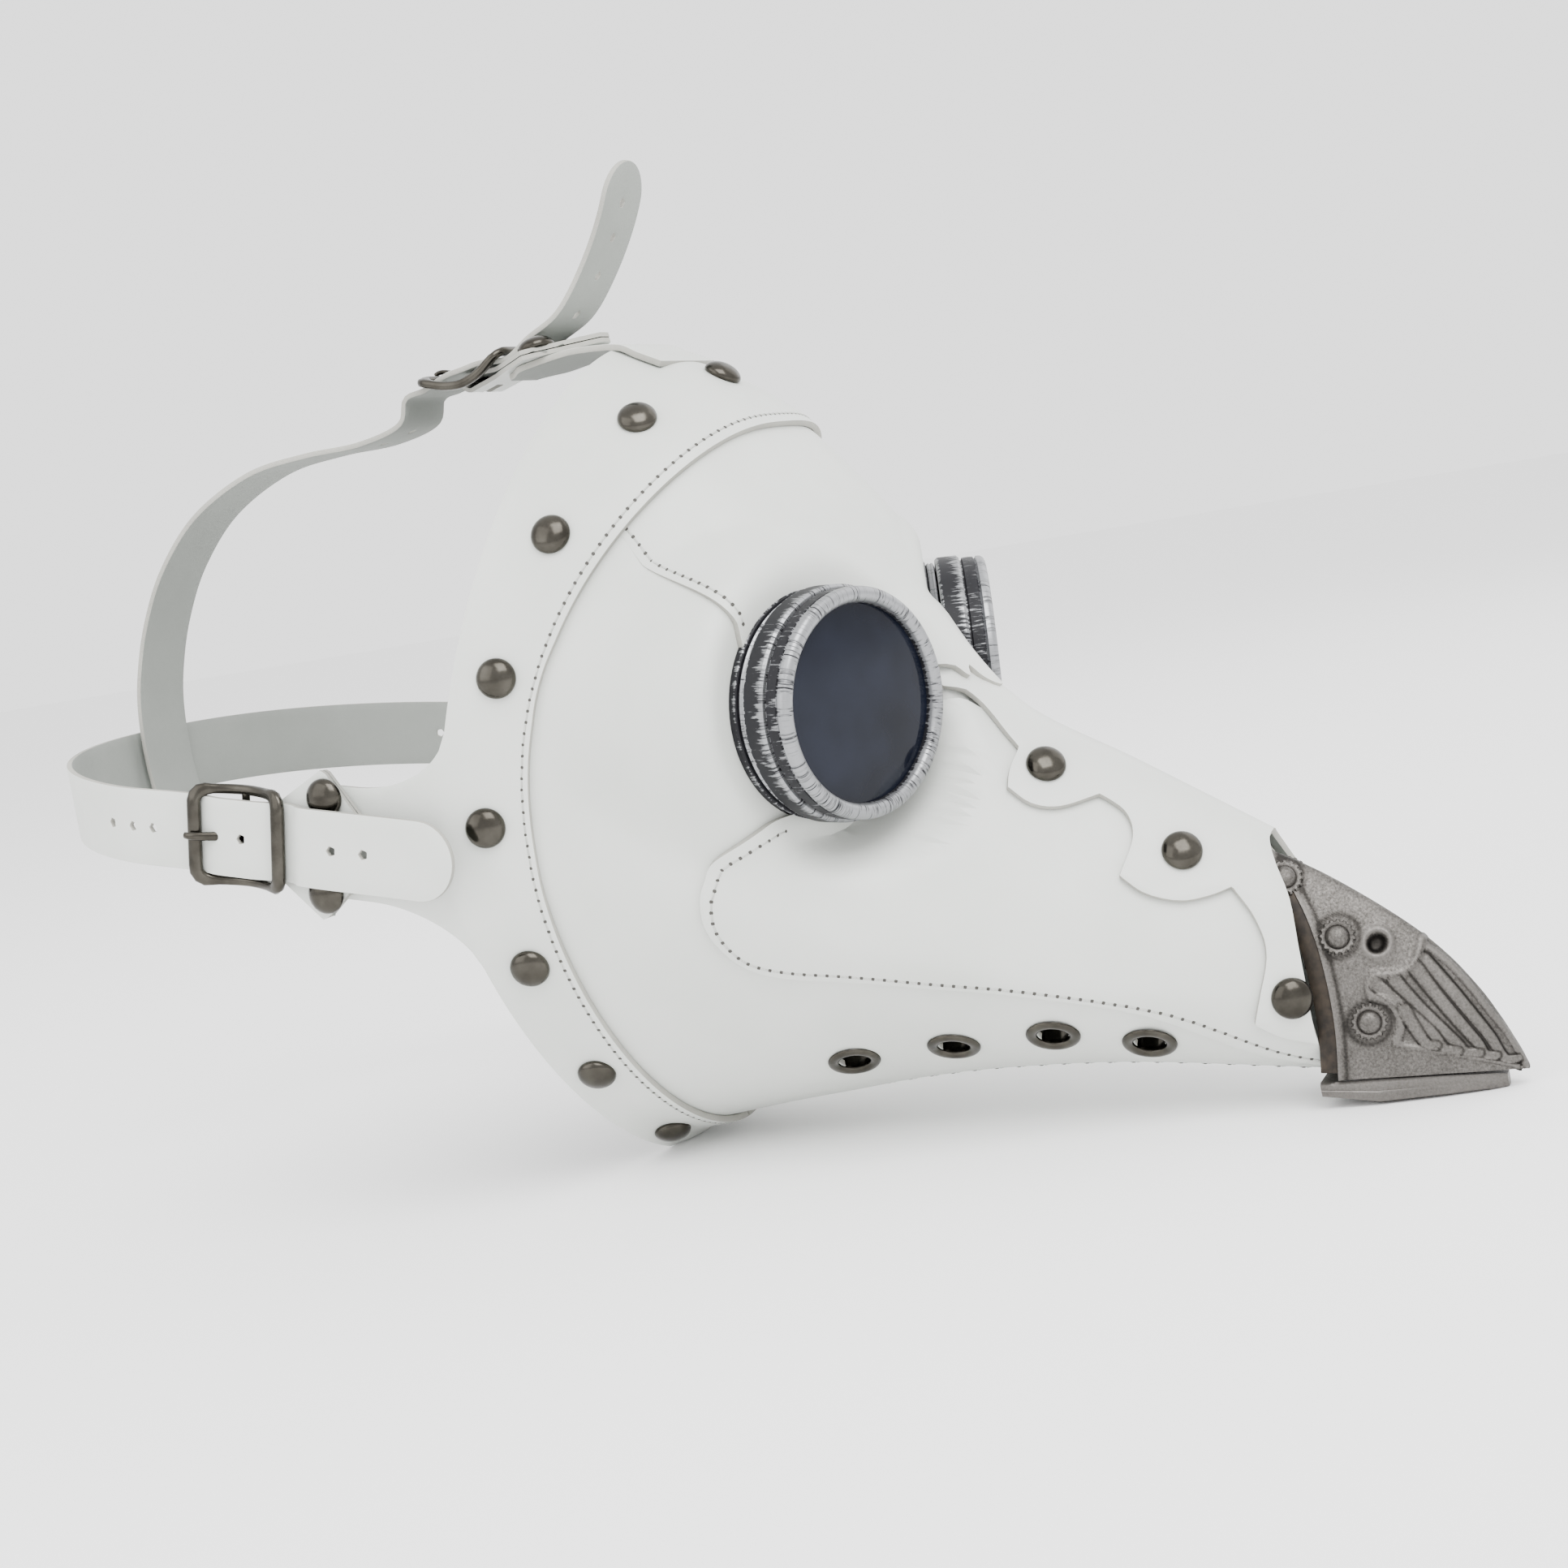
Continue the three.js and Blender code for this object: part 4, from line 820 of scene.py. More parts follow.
@dataclass(frozen=True)
class Finish:
    """A material with one shader and the way it is put on a piece."""

    name: str
    slot: str

    def start(self, suffix: str = "") -> tuple[bpy.types.Material, Shader, bpy.types.Node]:
        """A new material, its shader helper and its Principled BSDF."""
        material = bpy.data.materials.new(self.name + suffix)
        material.use_nodes = True
        return material, Shader(material.node_tree), material.node_tree.nodes["Principled BSDF"]

    def materials(self) -> list[bpy.types.Material]:
        """The finish's materials, in slot order, made once."""
        made = MADE.get(self.name)
        if made is None:
            made = MADE.setdefault(self.name, self.make())
        return made

    def make(self) -> list[bpy.types.Material]:
        """Builds the materials."""
        raise NotImplementedError

    def put_on(self, obj: bpy.types.Object) -> None:
        """Gives a piece the finish's materials."""
        obj.data.materials.clear()
        for material in self.materials():
            obj.data.materials.append(material)


def object_vector(sh: Shader) -> bpy.types.NodeSocket:
    """Object coordinates."""
    return sh.node("TexCoord").outputs["Object"]


@dataclass(frozen=True)
class LeatherFinish(Finish):
    """Painted leather with a plain back and a raw cut edge; the back's grey is partly its own colour and
    partly painted shade of the undersides.
    """

    colour: Colour = (0.60, 0.615, 0.585)
    shade: Colour = (0.55, 0.57, 0.535)
    # grey of the back: partly the leather's own back, partly painted shade of the undersides
    back: Colour = (0.25, 0.265, 0.245)
    edge: Colour = (0.37, 0.365, 0.33)
    roughness: float = 0.4
    pores: float = 1500.0

    def make(self) -> list[bpy.types.Material]:
        """The grain side, the back and the cut edge."""
        return [
            self._side("", self.colour, self.shade, self.roughness, self.pores, 0.12),
            self._side("_back", self.back, tuple(0.86 * c for c in self.back), 0.8, 2200.0, 0.3),
            self._side("_edge", self.edge, tuple(0.72 * c for c in self.edge), 0.85, 2600.0, 0.6),
        ]

    def _side(self, suffix: str, colour: Colour, shade: Colour, roughness: float, scale: float,
              relief: float) -> bpy.types.Material:
        """One side of the leather.

        Args:
            suffix: What the material's name ends with.
            colour: Its main colour.
            shade: Its colour in the soft mottling.
            roughness: Its mean roughness.
            scale: How fine its pores are.
            relief: How strongly they show.

        Returns:
            The material.
        """
        material, sh, shader = self.start(suffix)
        vector = object_vector(sh)
        grain = sh.node("Group", {}, node_tree=GRAIN)
        sh.tree.links.new(vector, grain.inputs["Vector"])
        grain.inputs["Scale"].default_value = scale
        height, mottle = grain.outputs["Height"], grain.outputs["Mottle"]
        sh.tree.links.new(sh.mixed(sh.ranged(mottle, 0.4, 0.7), solid_colour(colour), solid_colour(shade)),
                          shader.inputs["Base Color"])
        sh.tree.links.new(sh.ranged(height, 0.2, 0.8, roughness - 0.06, roughness + 0.1),
                          shader.inputs["Roughness"])
        bump = sh.node("Bump", {"Strength": relief, "Distance": 0.0004, "Height": height})
        sh.tree.links.new(bump.outputs[0], shader.inputs["Normal"])
        return material


@dataclass(frozen=True)
class ThreadFinish(Finish):
    """Waxed thread, and the painted shade of the needle's holes."""

    colour: Colour = (0.50, 0.51, 0.48)
    # near-black painted shade for the needle holes
    hole: Colour = (0.04, 0.038, 0.034)

    def make(self) -> list[bpy.types.Material]:
        """The thread, and a near-black material painted as the shade inside the needle's holes."""
        thread, sh, shader = self.start()
        twist = sh.node("TexWave", {"Vector": object_vector(sh), "Scale": 900.0, "Distortion": 1.5})
        tone = sh.mixed(sh.ranged(twist.outputs["Fac"], 0, 1), solid_colour(self.colour),
                        solid_colour(tuple(0.8 * c for c in self.colour)))
        sh.tree.links.new(tone, shader.inputs["Base Color"])
        shader.inputs["Roughness"].default_value = 0.7
        hole, sh, shader = self.start("_hole")
        speck = sh.node("TexNoise", {"Vector": object_vector(sh), "Scale": 800.0})
        tone = sh.mixed(speck.outputs[0], solid_colour(self.hole),
                        solid_colour(tuple(1.6 * c for c in self.hole)))
        sh.tree.links.new(tone, shader.inputs["Base Color"])
        shader.inputs["Roughness"].default_value = 0.9
        return [thread, hole]


@dataclass(frozen=True)
class PlatedFinish(Finish):
    """Dark plated metal, smooth with faint clouds."""

    bright: Colour = (0.07, 0.065, 0.055)
    dark: Colour = (0.034, 0.031, 0.026)
    roughness: float = 0.17

    def make(self) -> list[bpy.types.Material]:
        """The plated metal."""
        material, sh, shader = self.start()
        haze = sh.node("Group", {}, node_tree=TARNISH)
        sh.tree.links.new(object_vector(sh), haze.inputs["Vector"])
        haze.inputs["Cloud"].default_value = 160.0
        haze.inputs["Speckle"].default_value = 1800.0
        tone = sh.mixed(sh.ranged(haze.outputs["Cloud"], 0.3, 0.7), solid_colour(self.dark),
                        solid_colour(self.bright))
        sh.tree.links.new(tone, shader.inputs["Base Color"])
        matt = sh.ranged(haze.outputs["Speckle"], 0.3, 0.7, self.roughness - 0.05, self.roughness + 0.12)
        sh.tree.links.new(matt, shader.inputs["Roughness"])
        shader.inputs["Metallic"].default_value = 1.0
        bump = sh.node("Bump", {"Strength": 0.06, "Distance": 0.0002, "Height": haze.outputs["Speckle"]})
        sh.tree.links.new(bump.outputs[0], shader.inputs["Normal"])
        return [material]


@dataclass(frozen=True)
class CastFinish(Finish):
    """Antiqued casting: dark in its hollows, burnished on its ridges, speckled all over."""

    bright: Colour = (0.16, 0.15, 0.14)
    middle: Colour = (0.058, 0.054, 0.049)
    dark: Colour = (0.014, 0.0125, 0.011)
    roughness: float = 0.42

    def make(self) -> list[bpy.types.Material]:
        """The cast metal. It reads how raised each point is from the attribute relief."""
        material, sh, shader = self.start()
        haze = sh.node("Group", {}, node_tree=TARNISH)
        sh.tree.links.new(object_vector(sh), haze.inputs["Vector"])
        haze.inputs["Cloud"].default_value = 90.0
        haze.inputs["Speckle"].default_value = 1500.0
        relief = sh.node("Attribute", {}, attribute_name="relief").outputs["Fac"]
        speckle, cloud = haze.outputs["Speckle"], haze.outputs["Cloud"]
        worn = sh.maths("ADD", sh.maths("MULTIPLY", speckle, 0.9), sh.maths("MULTIPLY", cloud, 0.35))
        body = sh.mixed(sh.ranged(worn, 0.45, 0.85), solid_colour(self.middle), solid_colour(self.bright))
        body = sh.mixed(sh.ranged(relief, 0.5, 0.85, 0, 0.8), body, solid_colour(self.bright))
        hollow = sh.maths("ADD", relief, sh.maths("MULTIPLY", speckle, 0.2))
        body = sh.mixed(sh.ranged(hollow, 0.2, 0.55, 0.92, 0), body, solid_colour(self.dark))
        sh.tree.links.new(body, shader.inputs["Base Color"])
        sh.tree.links.new(sh.ranged(speckle, 0.3, 0.7, self.roughness + 0.12, self.roughness - 0.08),
                          shader.inputs["Roughness"])
        shader.inputs["Metallic"].default_value = 0.9
        bump = sh.node("Bump", {"Strength": 0.35, "Distance": 0.0003, "Height": speckle})
        sh.tree.links.new(bump.outputs[0], shader.inputs["Normal"])
        return [material]


@dataclass(frozen=True)
class BrushedFinish(Finish):
    """Black paint with silver dragged over the raised edges."""

    black: Colour = (0.006, 0.006, 0.008)
    silver: Colour = (0.27, 0.275, 0.285)

    def make(self) -> list[bpy.types.Material]:
        """The paint. It reads the piece's attributes turned and rub."""
        material, sh, shader = self.start()
        own = sh.node("Attribute", {}, attribute_name="turned").outputs["Vector"]
        rub = sh.node("Attribute", {}, attribute_name="rub").outputs["Fac"]
        brush = sh.node("Group", {}, node_tree=BRUSH)
        for label, value in (("Vector", own), ("Rub", rub)):
            sh.tree.links.new(value, brush.inputs[label])
        brush.inputs["Density"].default_value = 1.5
        brush.inputs["Stretch"].default_value = 0.2
        mask = brush.outputs["Mask"]
        sh.tree.links.new(sh.mixed(mask, solid_colour(self.black), solid_colour(self.silver)),
                          shader.inputs["Base Color"])
        sh.tree.links.new(sh.ranged(mask, 0, 1, 0.5, 0.36), shader.inputs["Roughness"])
        sh.tree.links.new(sh.ranged(mask, 0, 1, 0.0, 0.85), shader.inputs["Metallic"])
        shader.inputs["Specular IOR Level"].default_value = 0.2
        bump = sh.node("Bump", {"Strength": 0.3, "Distance": 0.00015, "Height": mask})
        sh.tree.links.new(bump.outputs[0], shader.inputs["Normal"])
        return [material]


@dataclass(frozen=True)
class LensFinish(Finish):
    """Smoked, nearly opaque lens."""

    centre: Colour = (0.003, 0.004, 0.008)
    haze: Colour = (0.008, 0.010, 0.018)

    def make(self) -> list[bpy.types.Material]:
        """The lens."""
        material, sh, shader = self.start()
        smear = sh.node("TexNoise", {"Vector": object_vector(sh), "Scale": 45.0, "Detail": 2.0})
        tone = sh.mixed(sh.ranged(smear.outputs[0], 0.35, 0.7), solid_colour(self.centre),
                        solid_colour(self.haze))
        sh.tree.links.new(tone, shader.inputs["Base Color"])
        sh.tree.links.new(sh.ranged(smear.outputs[0], 0.3, 0.8, 0.04, 0.1), shader.inputs["Roughness"])
        shader.inputs["IOR"].default_value = 1.24
        return [material]


@dataclass(frozen=True)
class GapShadeFinish(Finish):
    """Dark brown colour painted as the shade in the joint between the leather and the bill."""

    # both tones are painted shade of the gap at the bill's joint
    bright: Colour = (0.035, 0.026, 0.018)
    dark: Colour = (0.012, 0.009, 0.007)

    def make(self) -> list[bpy.types.Material]:
        """The painted shade of the joint."""
        material, sh, shader = self.start()
        noise = sh.node("TexNoise", {"Vector": object_vector(sh), "Scale": 300.0, "Detail": 3.0})
        tone = sh.mixed(sh.ranged(noise.outputs[0], 0.35, 0.65), solid_colour(self.dark),
                        solid_colour(self.bright))
        sh.tree.links.new(tone, shader.inputs["Base Color"])
        shader.inputs["Roughness"].default_value = 0.5
        shader.inputs["Metallic"].default_value = 0.6
        return [material]


WHITE = LeatherFinish("white_leather", "white_leather")
THREAD = ThreadFinish("waxed_thread", "white_leather")
GUNMETAL = PlatedFinish("gunmetal", "gunmetal")
PEWTER = CastFinish("cast_pewter", "cast_pewter")
BLACK = BrushedFinish("black_and_silver", "black_goggle_metal")
SMOKED = LensFinish("smoked_lens", "smoked_lens")
# painted shade for the gap at the bill's joint
GAP_SHADE = GapShadeFinish("painted_gap_shade", "cast_pewter")


def fit(obj: bpy.types.Object, body: str, *nodes: str) -> bpy.types.Object:
    """Sets a finished piece on its body in place of CAD nodes, and reports it."""
    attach(obj, body)
    if nodes:
        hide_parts(*nodes)
    log.info("%s on %s, %d faces", obj.name, body, len(obj.data.polygons))
    return obj


# ---------------------------------------------------------------- leather panels
# heights of the outer faces above the form
SEWN = LEATHER + 0.1
FLANGE_LIFT = SEWN + 2.0
PANEL_LIFT = SEWN + 2.0
OVERLAY_LIFT = SEWN + 4.1
EYE_CUT = 26.0
# millimetres that a station and a share count for where a panel is laid flat
FLANGE_FLAT = (20, 300)
FOREHEAD_FLAT = (20, 260)
CHEEK_FLAT = (20, 240)
BEAK_FLAT = (20, 220)
OVERLAY_FLAT = (20, 200)
STITCH_INSET = 2.3


def forehead_height(s: Array) -> Array:
    """How high the forehead's face stands, rising over the cheeks and then under the overlay."""
    return SEWN + 1.8 * smooth(2.1, 3.4, s) + 2.6 * smooth(4.4, 4.9, s)


def overlay_height(s: Array) -> Array:
    """How high the overlay's face stands, lower where only the cheeks are under it."""
    return OVERLAY_LIFT - 1.9 * (1 - smooth(5.3, 5.9, s))


def opposite(line: Array) -> Array:
    """A line of places on the other side of the mask, in the other order."""
    return line[::-1] * (1, -1)


def clear_of_eyes(points: Array) -> Array:
    """Which points lie outside the bores for the goggles."""
    away = points * np.where(points[:, :1] > 0, (-1, 1, 1), (1, 1, 1)) - FORM.eye
    height = away @ FORM.eye_axis
    return (away**2).sum(1) - height**2 > EYE_CUT**2


def moved_up(line: Array, width: float) -> Array:
    """Places moved towards the top of the form by a distance in millimetres."""
    return np.column_stack((line[:, 0], np.maximum(line[:, 1] - FORM.share(line[:, 0], width), 0)))


def inset(loop: Array, width: float, scale: Sequence[float]) -> Array:
    """A line moved to its left by a distance in millimetres, in the plane of its places."""
    flat = loop * np.asarray(scale)
    along = unit(np.gradient(flat, axis=0))
    return (flat + np.column_stack((-along[:, 1], along[:, 0])) * width) / np.asarray(scale)


def seat_arc(radius: float, start: float, end: float) -> Array:
    """Side view points of an arc on the goggle's seat, by angles from the nose side down."""
    across = unit(np.cross(FORM.eye_axis, (0, 0, 1)))
    if across[0] < 0:
        across = -across
    down = unit(np.cross(FORM.eye_axis, across))
    if down[2] > 0:
        down = -down
    turn = np.radians(np.linspace(start, end, 16))[:, None]
    points = FORM.eye + radius * (np.cos(turn) * across + np.sin(turn) * down)
    return points[:, 1:] * (-1, 1)


@dataclass
class Shell:
    """The stitched leather body: flange, forehead, cheeks, beak panels and ridge overlay."""

    brow: Sequence = ((1.6, 0.238), (2.2, 0.252), (2.8, 0.272), (3.3, 0.285), (3.75, 0.30))
    thorn: Sequence = ((4.6, 20), (5.0, 13), (5.3, 8), (5.52, 5.5), (5.45, 3.4), (5.6, 2.2), (5.78, 0))
    front: Sequence = ((184, 65), (186, 60), (189, 52), (190.5, 40), (192, 27), (193.5, 14), (195, 2))
    scallops: Sequence = (
        ((108, 118), (112, 114), (120, 103), (124.5, 97.5)),
        ((124.5, 97.5), (123, 93), (123, 89)),
        ((123, 89), (129, 84), (136, 82), (145, 83)),
        ((145, 83), (151, 78), (153, 72), (150, 64)),
        ((150, 64), (156, 59), (164, 56), (171, 56), (176, 57)),
        ((176, 57), (181, 49), (183, 40), (179, 27)),
        ((179, 27), (185, 23), (193, 20)),
    )
    beak_edge: Sequence = (
        (80, 96), (75, 96), (69, 93), (62, 89), (59, 84), (57, 79), (57, 71), (62, 62), (71, 57),
        (89, 53), (108, 48), (126, 43), (154, 33), (177, 19), (193, 13),
    )
    beak_top: Sequence = ((184, 60), (176, 66), (150, 84), (135, 94.5), (122, 104), (110, 114.5))
    ear_height: float = 100.0
    ear_length: float = 45.0
    ear_half: float = 15.0
    ear_flare: float = 16.0
    ear_fillet: float = 26.0
    tuck: float = 6.0
    rear: float = 1.6
    rim: float = 2.0

    def __post_init__(self) -> None:
        """Finds the panels' edges on the form."""
        hooked = spline([(s, FORM.share(s, width)) for s, width in self.thorn], 5)
        self.seam = joined(spline(self.brow, 12), hooked)
        self.front_edge = FORM.locate(spline(self.front, 3))
        self.scallop_edge = joined(*(FORM.locate(spline(part, 5)) for part in self.scallops))
        self.beak_line = FORM.locate(spline(self.beak_edge, 4))

    def _forehead(self) -> None:
        """The forehead panel with its hooked tip, and the stitches above its edge."""
        face = lifted(forehead_height)
        outline = joined(self.seam, opposite(self.seam))
        panel = Sheet("forehead", outline, face, FOREHEAD_FLAT, keep=clear_of_eyes).build(WHITE)
        row = moved_up(self.seam[8:40], STITCH_INSET + 0.1)
        right = Seam("forehead_stitches_right", row, face).build(THREAD)
        fit(panel, "root", "forehead_panel")
        fit(right, "root")
        fit(mirrored(right, "forehead_stitches_left"), "root")

    def _ear_outline(self) -> Array:
        """The rear edge round the ear that a buckle's tab is riveted to, from top to bottom."""
        share = np.linspace(0.2, 0.8, 241)
        centre = share[np.abs(FORM.place(0 * share, share)[0][:, 2] - self.ear_height).argmin()]
        back = np.linspace(0, self.ear_length, 40)
        round_end = np.sqrt(np.clip((self.ear_length - back) / 6, 0, 1))
        away = np.clip(back / self.ear_fillet, 0, 1)
        fillet = 1 - np.sqrt(away * (2 - away))
        half = self.ear_half * (round_end + 1) / 2 + self.ear_flare * fillet
        station, turn = FLANGE_FLAT
        upper = np.column_stack((-back / station, centre - half / turn))
        lower = np.column_stack((-back / station, centre + half / turn))[::-1]
        return joined(upper, lower)

    @staticmethod
    def _flange_surface(s: Array, t: Array) -> tuple[Array, Array]:
        """The flange's face, carried straight back where the ears leave it."""
        points, normals = lifted(FLANGE_LIFT)(np.maximum(s, 0), t)
        back = np.maximum(-s, 0)[:, None] * FLANGE_FLAT[0]
        flat = at(1, 0, 0) * np.sign(np.where(t == 0, 1, t))[:, None]
        share = np.clip(back / 14, 0, 1)
        points[:, 2] = np.maximum(points[:, 2], 0)
        return points - SIDE_SEAT.along * back, unit(normals * (1 - share) + flat * share)

    def _flange(self) -> None:
        """The wide rim round the face and its stitches."""
        share = np.linspace(-1, 1, 161)
        right = self._ear_outline()
        rear = joined(np.array([(0.0, -1.0)]), opposite(right), right, np.array([(0.0, 1.0)]))
        front = np.column_stack((np.full_like(share, self.rim), share))
        panel = Sheet("flange", joined(rear, front[::-1]), self._flange_surface, FLANGE_FLAT)
        row = np.column_stack((np.full_like(share, self.rim - 0.13), share))
        stitches = Seam("flange_stitches", row, lifted(FLANGE_LIFT))
        fit(panel.build(WHITE), "root", "face_flange")
        fit(stitches.build(THREAD), "root")

    def _cheek(self) -> bpy.types.Object:
        """The right cheek, tucked under the forehead and meeting its twin along the middle."""
        hidden = moved_up(self.seam, self.tuck)
        top = np.array([(5.9, 0.0), (self.front_edge[0, 0], 0.0)])
        bottom = np.array([(self.front_edge[-1, 0], 1.0), (self.rear, 1.0)])
        outline = joined(hidden, top, self.front_edge, bottom)
        holes = [FORM.locate(circle(3.9, 16, spot)) for spot in Fittings.eyelets]
        cheek = Sheet("cheek_right", outline, lifted(SEWN), CHEEK_FLAT, holes, keep=clear_of_eyes)
        return cheek.build(WHITE)

    def _beak_side(self) -> list[bpy.types.Object]:
        """The right side panel of the beak and its stitches."""
        arc = FORM.locate(seat_arc(31.0, 12, 84))
        under = FORM.locate(spline(self.beak_top, 4))
        front = self.front_edge[(self.front_edge[:, 1] < self.beak_line[-1, 1] - 0.02)]
        front = front[front[:, 1] > under[0, 1] + 0.02][::-1]
        outline = joined(self.beak_line[1:], front, under, arc)
        panel = Sheet("beak_side_right", outline, lifted(PANEL_LIFT), BEAK_FLAT)
        path = inset(self.beak_line[4:], -STITCH_INSET, BEAK_FLAT)
        stitches = Seam("beak_stitches_right", path, lifted(PANEL_LIFT))
        return [panel.build(WHITE), stitches.build(THREAD)]

    def _overlay(self) -> None:
        """The scalloped strip along the ridge."""
        tip = [(4.7, 0.0), (4.75, FORM.share(4.75, 9.0))]
        front = self.front_edge[self.front_edge[:, 1] < self.scallop_edge[-1, 1]][::-1]
        half = joined(np.array(tip), self.scallop_edge, front, np.array([(front[-1, 0], 0.0)]))
        outline = joined(half, opposite(half))
        panel = Sheet("ridge_overlay_visual", outline, lifted(overlay_height), OVERLAY_FLAT)
        fit(panel.build(WHITE), "root", "ridge_overlay")

    def build(self) -> None:
        """Builds all the panels."""
        self._flange()
        self._forehead()
        self._overlay()
        cheek = self._cheek()
        side, stitches = self._beak_side()
        for piece, node, finish in ((cheek, "cheek_panel", WHITE), (side, "beak_side_panel", WHITE),
                                    (stitches, None, THREAD)):
            twin = mirrored(piece, piece.name.replace("right", "left"))
            for obj, half in ((piece, Side.RIGHT), (twin, Side.LEFT)):
                fit(obj, "root", *([f"{node}_{half.word}"] if node else []))
        stations = np.linspace(self.rim + 0.1, self.front_edge[-1, 0] - 0.05, 80)
        middle = np.column_stack((stations, np.ones_like(stations)))
        chin = Seam("chin_stitches", middle, lifted(SEWN), pitch=3.2, zigzag=1.6).build(THREAD)
        fit(chin, "root")


# ---------------------------------------------------------------- fittings
@dataclass(frozen=True)
class Fittings:
    """The rivets and eyelets set in the leather."""

    flange_shares: Sequence = tuple(0.135 + (0.925 - 0.135) * k / 6 for k in range(7))
    ridge: Sequence = ((131.5, 91.8), (164.5, 66.7), (188, 30.6))
    eyelets: Sequence = ((74, 27), (102, 28.5), (129, 29), (152, 23.5))

    @staticmethod
    def dome(name: str, point: Array, normal: Array, base: float) -> bpy.types.Object:
        """A rivet's domed head.

        Args:
            name: The piece's name.
            point: Its place on the form.
            normal: The form's normal there.
            base: The head's height above the form.

        Returns:
            The rivet, in gunmetal.
        """
        turn = np.linspace(0, math.pi / 2, 11)
        arc = [(5.25 * math.sin(a), base + 0.5 + 3.0 * math.cos(a)) for a in turn]
        profile = [*arc, (5.1, base + 0.1), (4.6, base - 0.3), (1.6, base - 0.3), (1.6, -1.0), (0, -1.0)]
        rivet = turned(name, profile, axis_matrix(point, normal), 40)
        GUNMETAL.put_on(rivet)
        return rivet

    @staticmethod
    def eyelet(name: str, point: Array, normal: Array) -> bpy.types.Object:
        """A rolled eyelet."""
        turn = np.linspace(0, math.pi, 9)
        roll = [(5.6 + 1.5 * math.cos(a), LAYER + 0.9 * math.sin(a)) for a in turn]
        profile = [*roll, (4.0, 1.4), (4.0, -2.0), (5.7, -2.0), (5.7, -1.3), (4.7, -1.1), (4.7, LAYER - 0.1),
                   (7.1, LAYER - 0.1), (7.1, LAYER)]
        eyelet = turned(name, profile, axis_matrix(point, normal), 40)
        GUNMETAL.put_on(eyelet)
        return eyelet

    def build(self) -> None:
        """Sets every rivet and eyelet."""
        point, normal = (part[0] for part in FORM.place(1, 0))
        fit(self.dome("rivet_crown_visual", point, normal, FLANGE_LIFT), "root", "rivet_crown")
        groups = {"rivet_flange": [], "rivet_beak": [], "eyelet": []}
        for k, share in enumerate(self.flange_shares):
            point, normal = (part[0] for part in FORM.place(1, share))
            groups["rivet_flange"].append(self.dome(f"flange_{k}", point, normal, FLANGE_LIFT))
        for k, place in enumerate(self.ridge):
            point, normal = (part[0] for part in FORM.place(*FORM.locate([place])[0]))
            groups["rivet_beak"].append(self.dome(f"beak_{k}", point, normal, OVERLAY_LIFT))
        for k, place in enumerate(self.eyelets):
            point, normal = (part[0] for part in FORM.place(*FORM.locate([place])[0]))
            groups["eyelet"].append(self.eyelet(f"ring_{k}", point, normal))
        for kind, parts in groups.items():
            count = len(parts)
            right = merged(f"{kind}s_right", parts)
            left = mirrored(right, f"{kind}s_left")
            for obj, side in ((right, Side.RIGHT), (left, Side.LEFT)):
                fit(obj, "root", *(f"{kind}_{side.word}_{k + 1}" for k in range(count)))


# ---------------------------------------------------------------- harness
@dataclass(frozen=True)
class Seat:
    """Where a buckle sits: x along the strap towards the mask, y across, z away from the head."""

    origin: tuple[float, float, float]
    slope: float
    top: bool = False

    @property
    def along(self) -> Array:
        """The direction towards the mask."""
        return unit(at(0, 1, self.slope))

    @property
    def out(self) -> Array:
        """The direction away from the head."""
        return unit(at(0, -self.slope, 1)) if self.top else at(1, 0, 0)

    def points(self, places: Array) -> Array:
        """Design points from (x, y, z) in the seat."""
        places = np.atleast_2d(places).astype(float)
        across = np.cross(self.out, self.along)
        base = at(*self.origin)
        return base + places[:, :1] * self.along + places[:, 1:2] * across + places[:, 2:] * self.out


SIDE_SEAT = Seat((85.5, -64.3, 111.6), -0.205)
TOP_SEAT = Seat((0, -17.5, 222.5), 0.13, top=True)


@dataclass
class Ribbon:
    """A surface along a path, in millimetres along it and across it."""

    path: Array
    outs: Array
    lift: float = 0.0

    def __post_init__(self) -> None:
        """Makes the path dense and measures it."""
        both = spline(np.hstack((self.path, self.outs)), 8)
        self.path, self.outs = both[:, :3], unit(both[:, 3:])
        step = np.linalg.norm(np.diff(self.path, axis=0), axis=1)
        self.run = np.concatenate(([0], np.cumsum(step)))

    def length_at(self, point: Array) -> float:
        """The distance along the path that is nearest to a point."""
        return float(self.run[((self.path - point) ** 2).sum(1).argmin()])

    def _read(self, table: Array, l: Array) -> Array:
        """Values kept at the path's points, at distances along it."""
        return np.column_stack([np.interp(l, self.run, table[:, k]) for k in range(3)])

    def __call__(self, l: Array, y: Array) -> tuple[Array, Array]:
        """Points and normals at distances along and across."""
        centre = self._read(self.path, l)
        along = unit(self._read(np.gradient(self.path, self.run, axis=0), l))
        out = self._read(self.outs, l)
        out = unit(out - (out * along).sum(1, keepdims=True) * along)
        across = np.cross(out, along)
        return centre + across * np.asarray(y)[:, None] + out * self.lift, out


# a strap's way over the centre bar and under the frame's two ends, as (x, z) in its seat
THREADED = (
    (-20.7, 1.95), (-13.7, 2.35), (-6, 4.0), (0, 4.05), (6, 4.0), (13.7, 2.35), (17.7, 3.25), (23, 5.6),
)


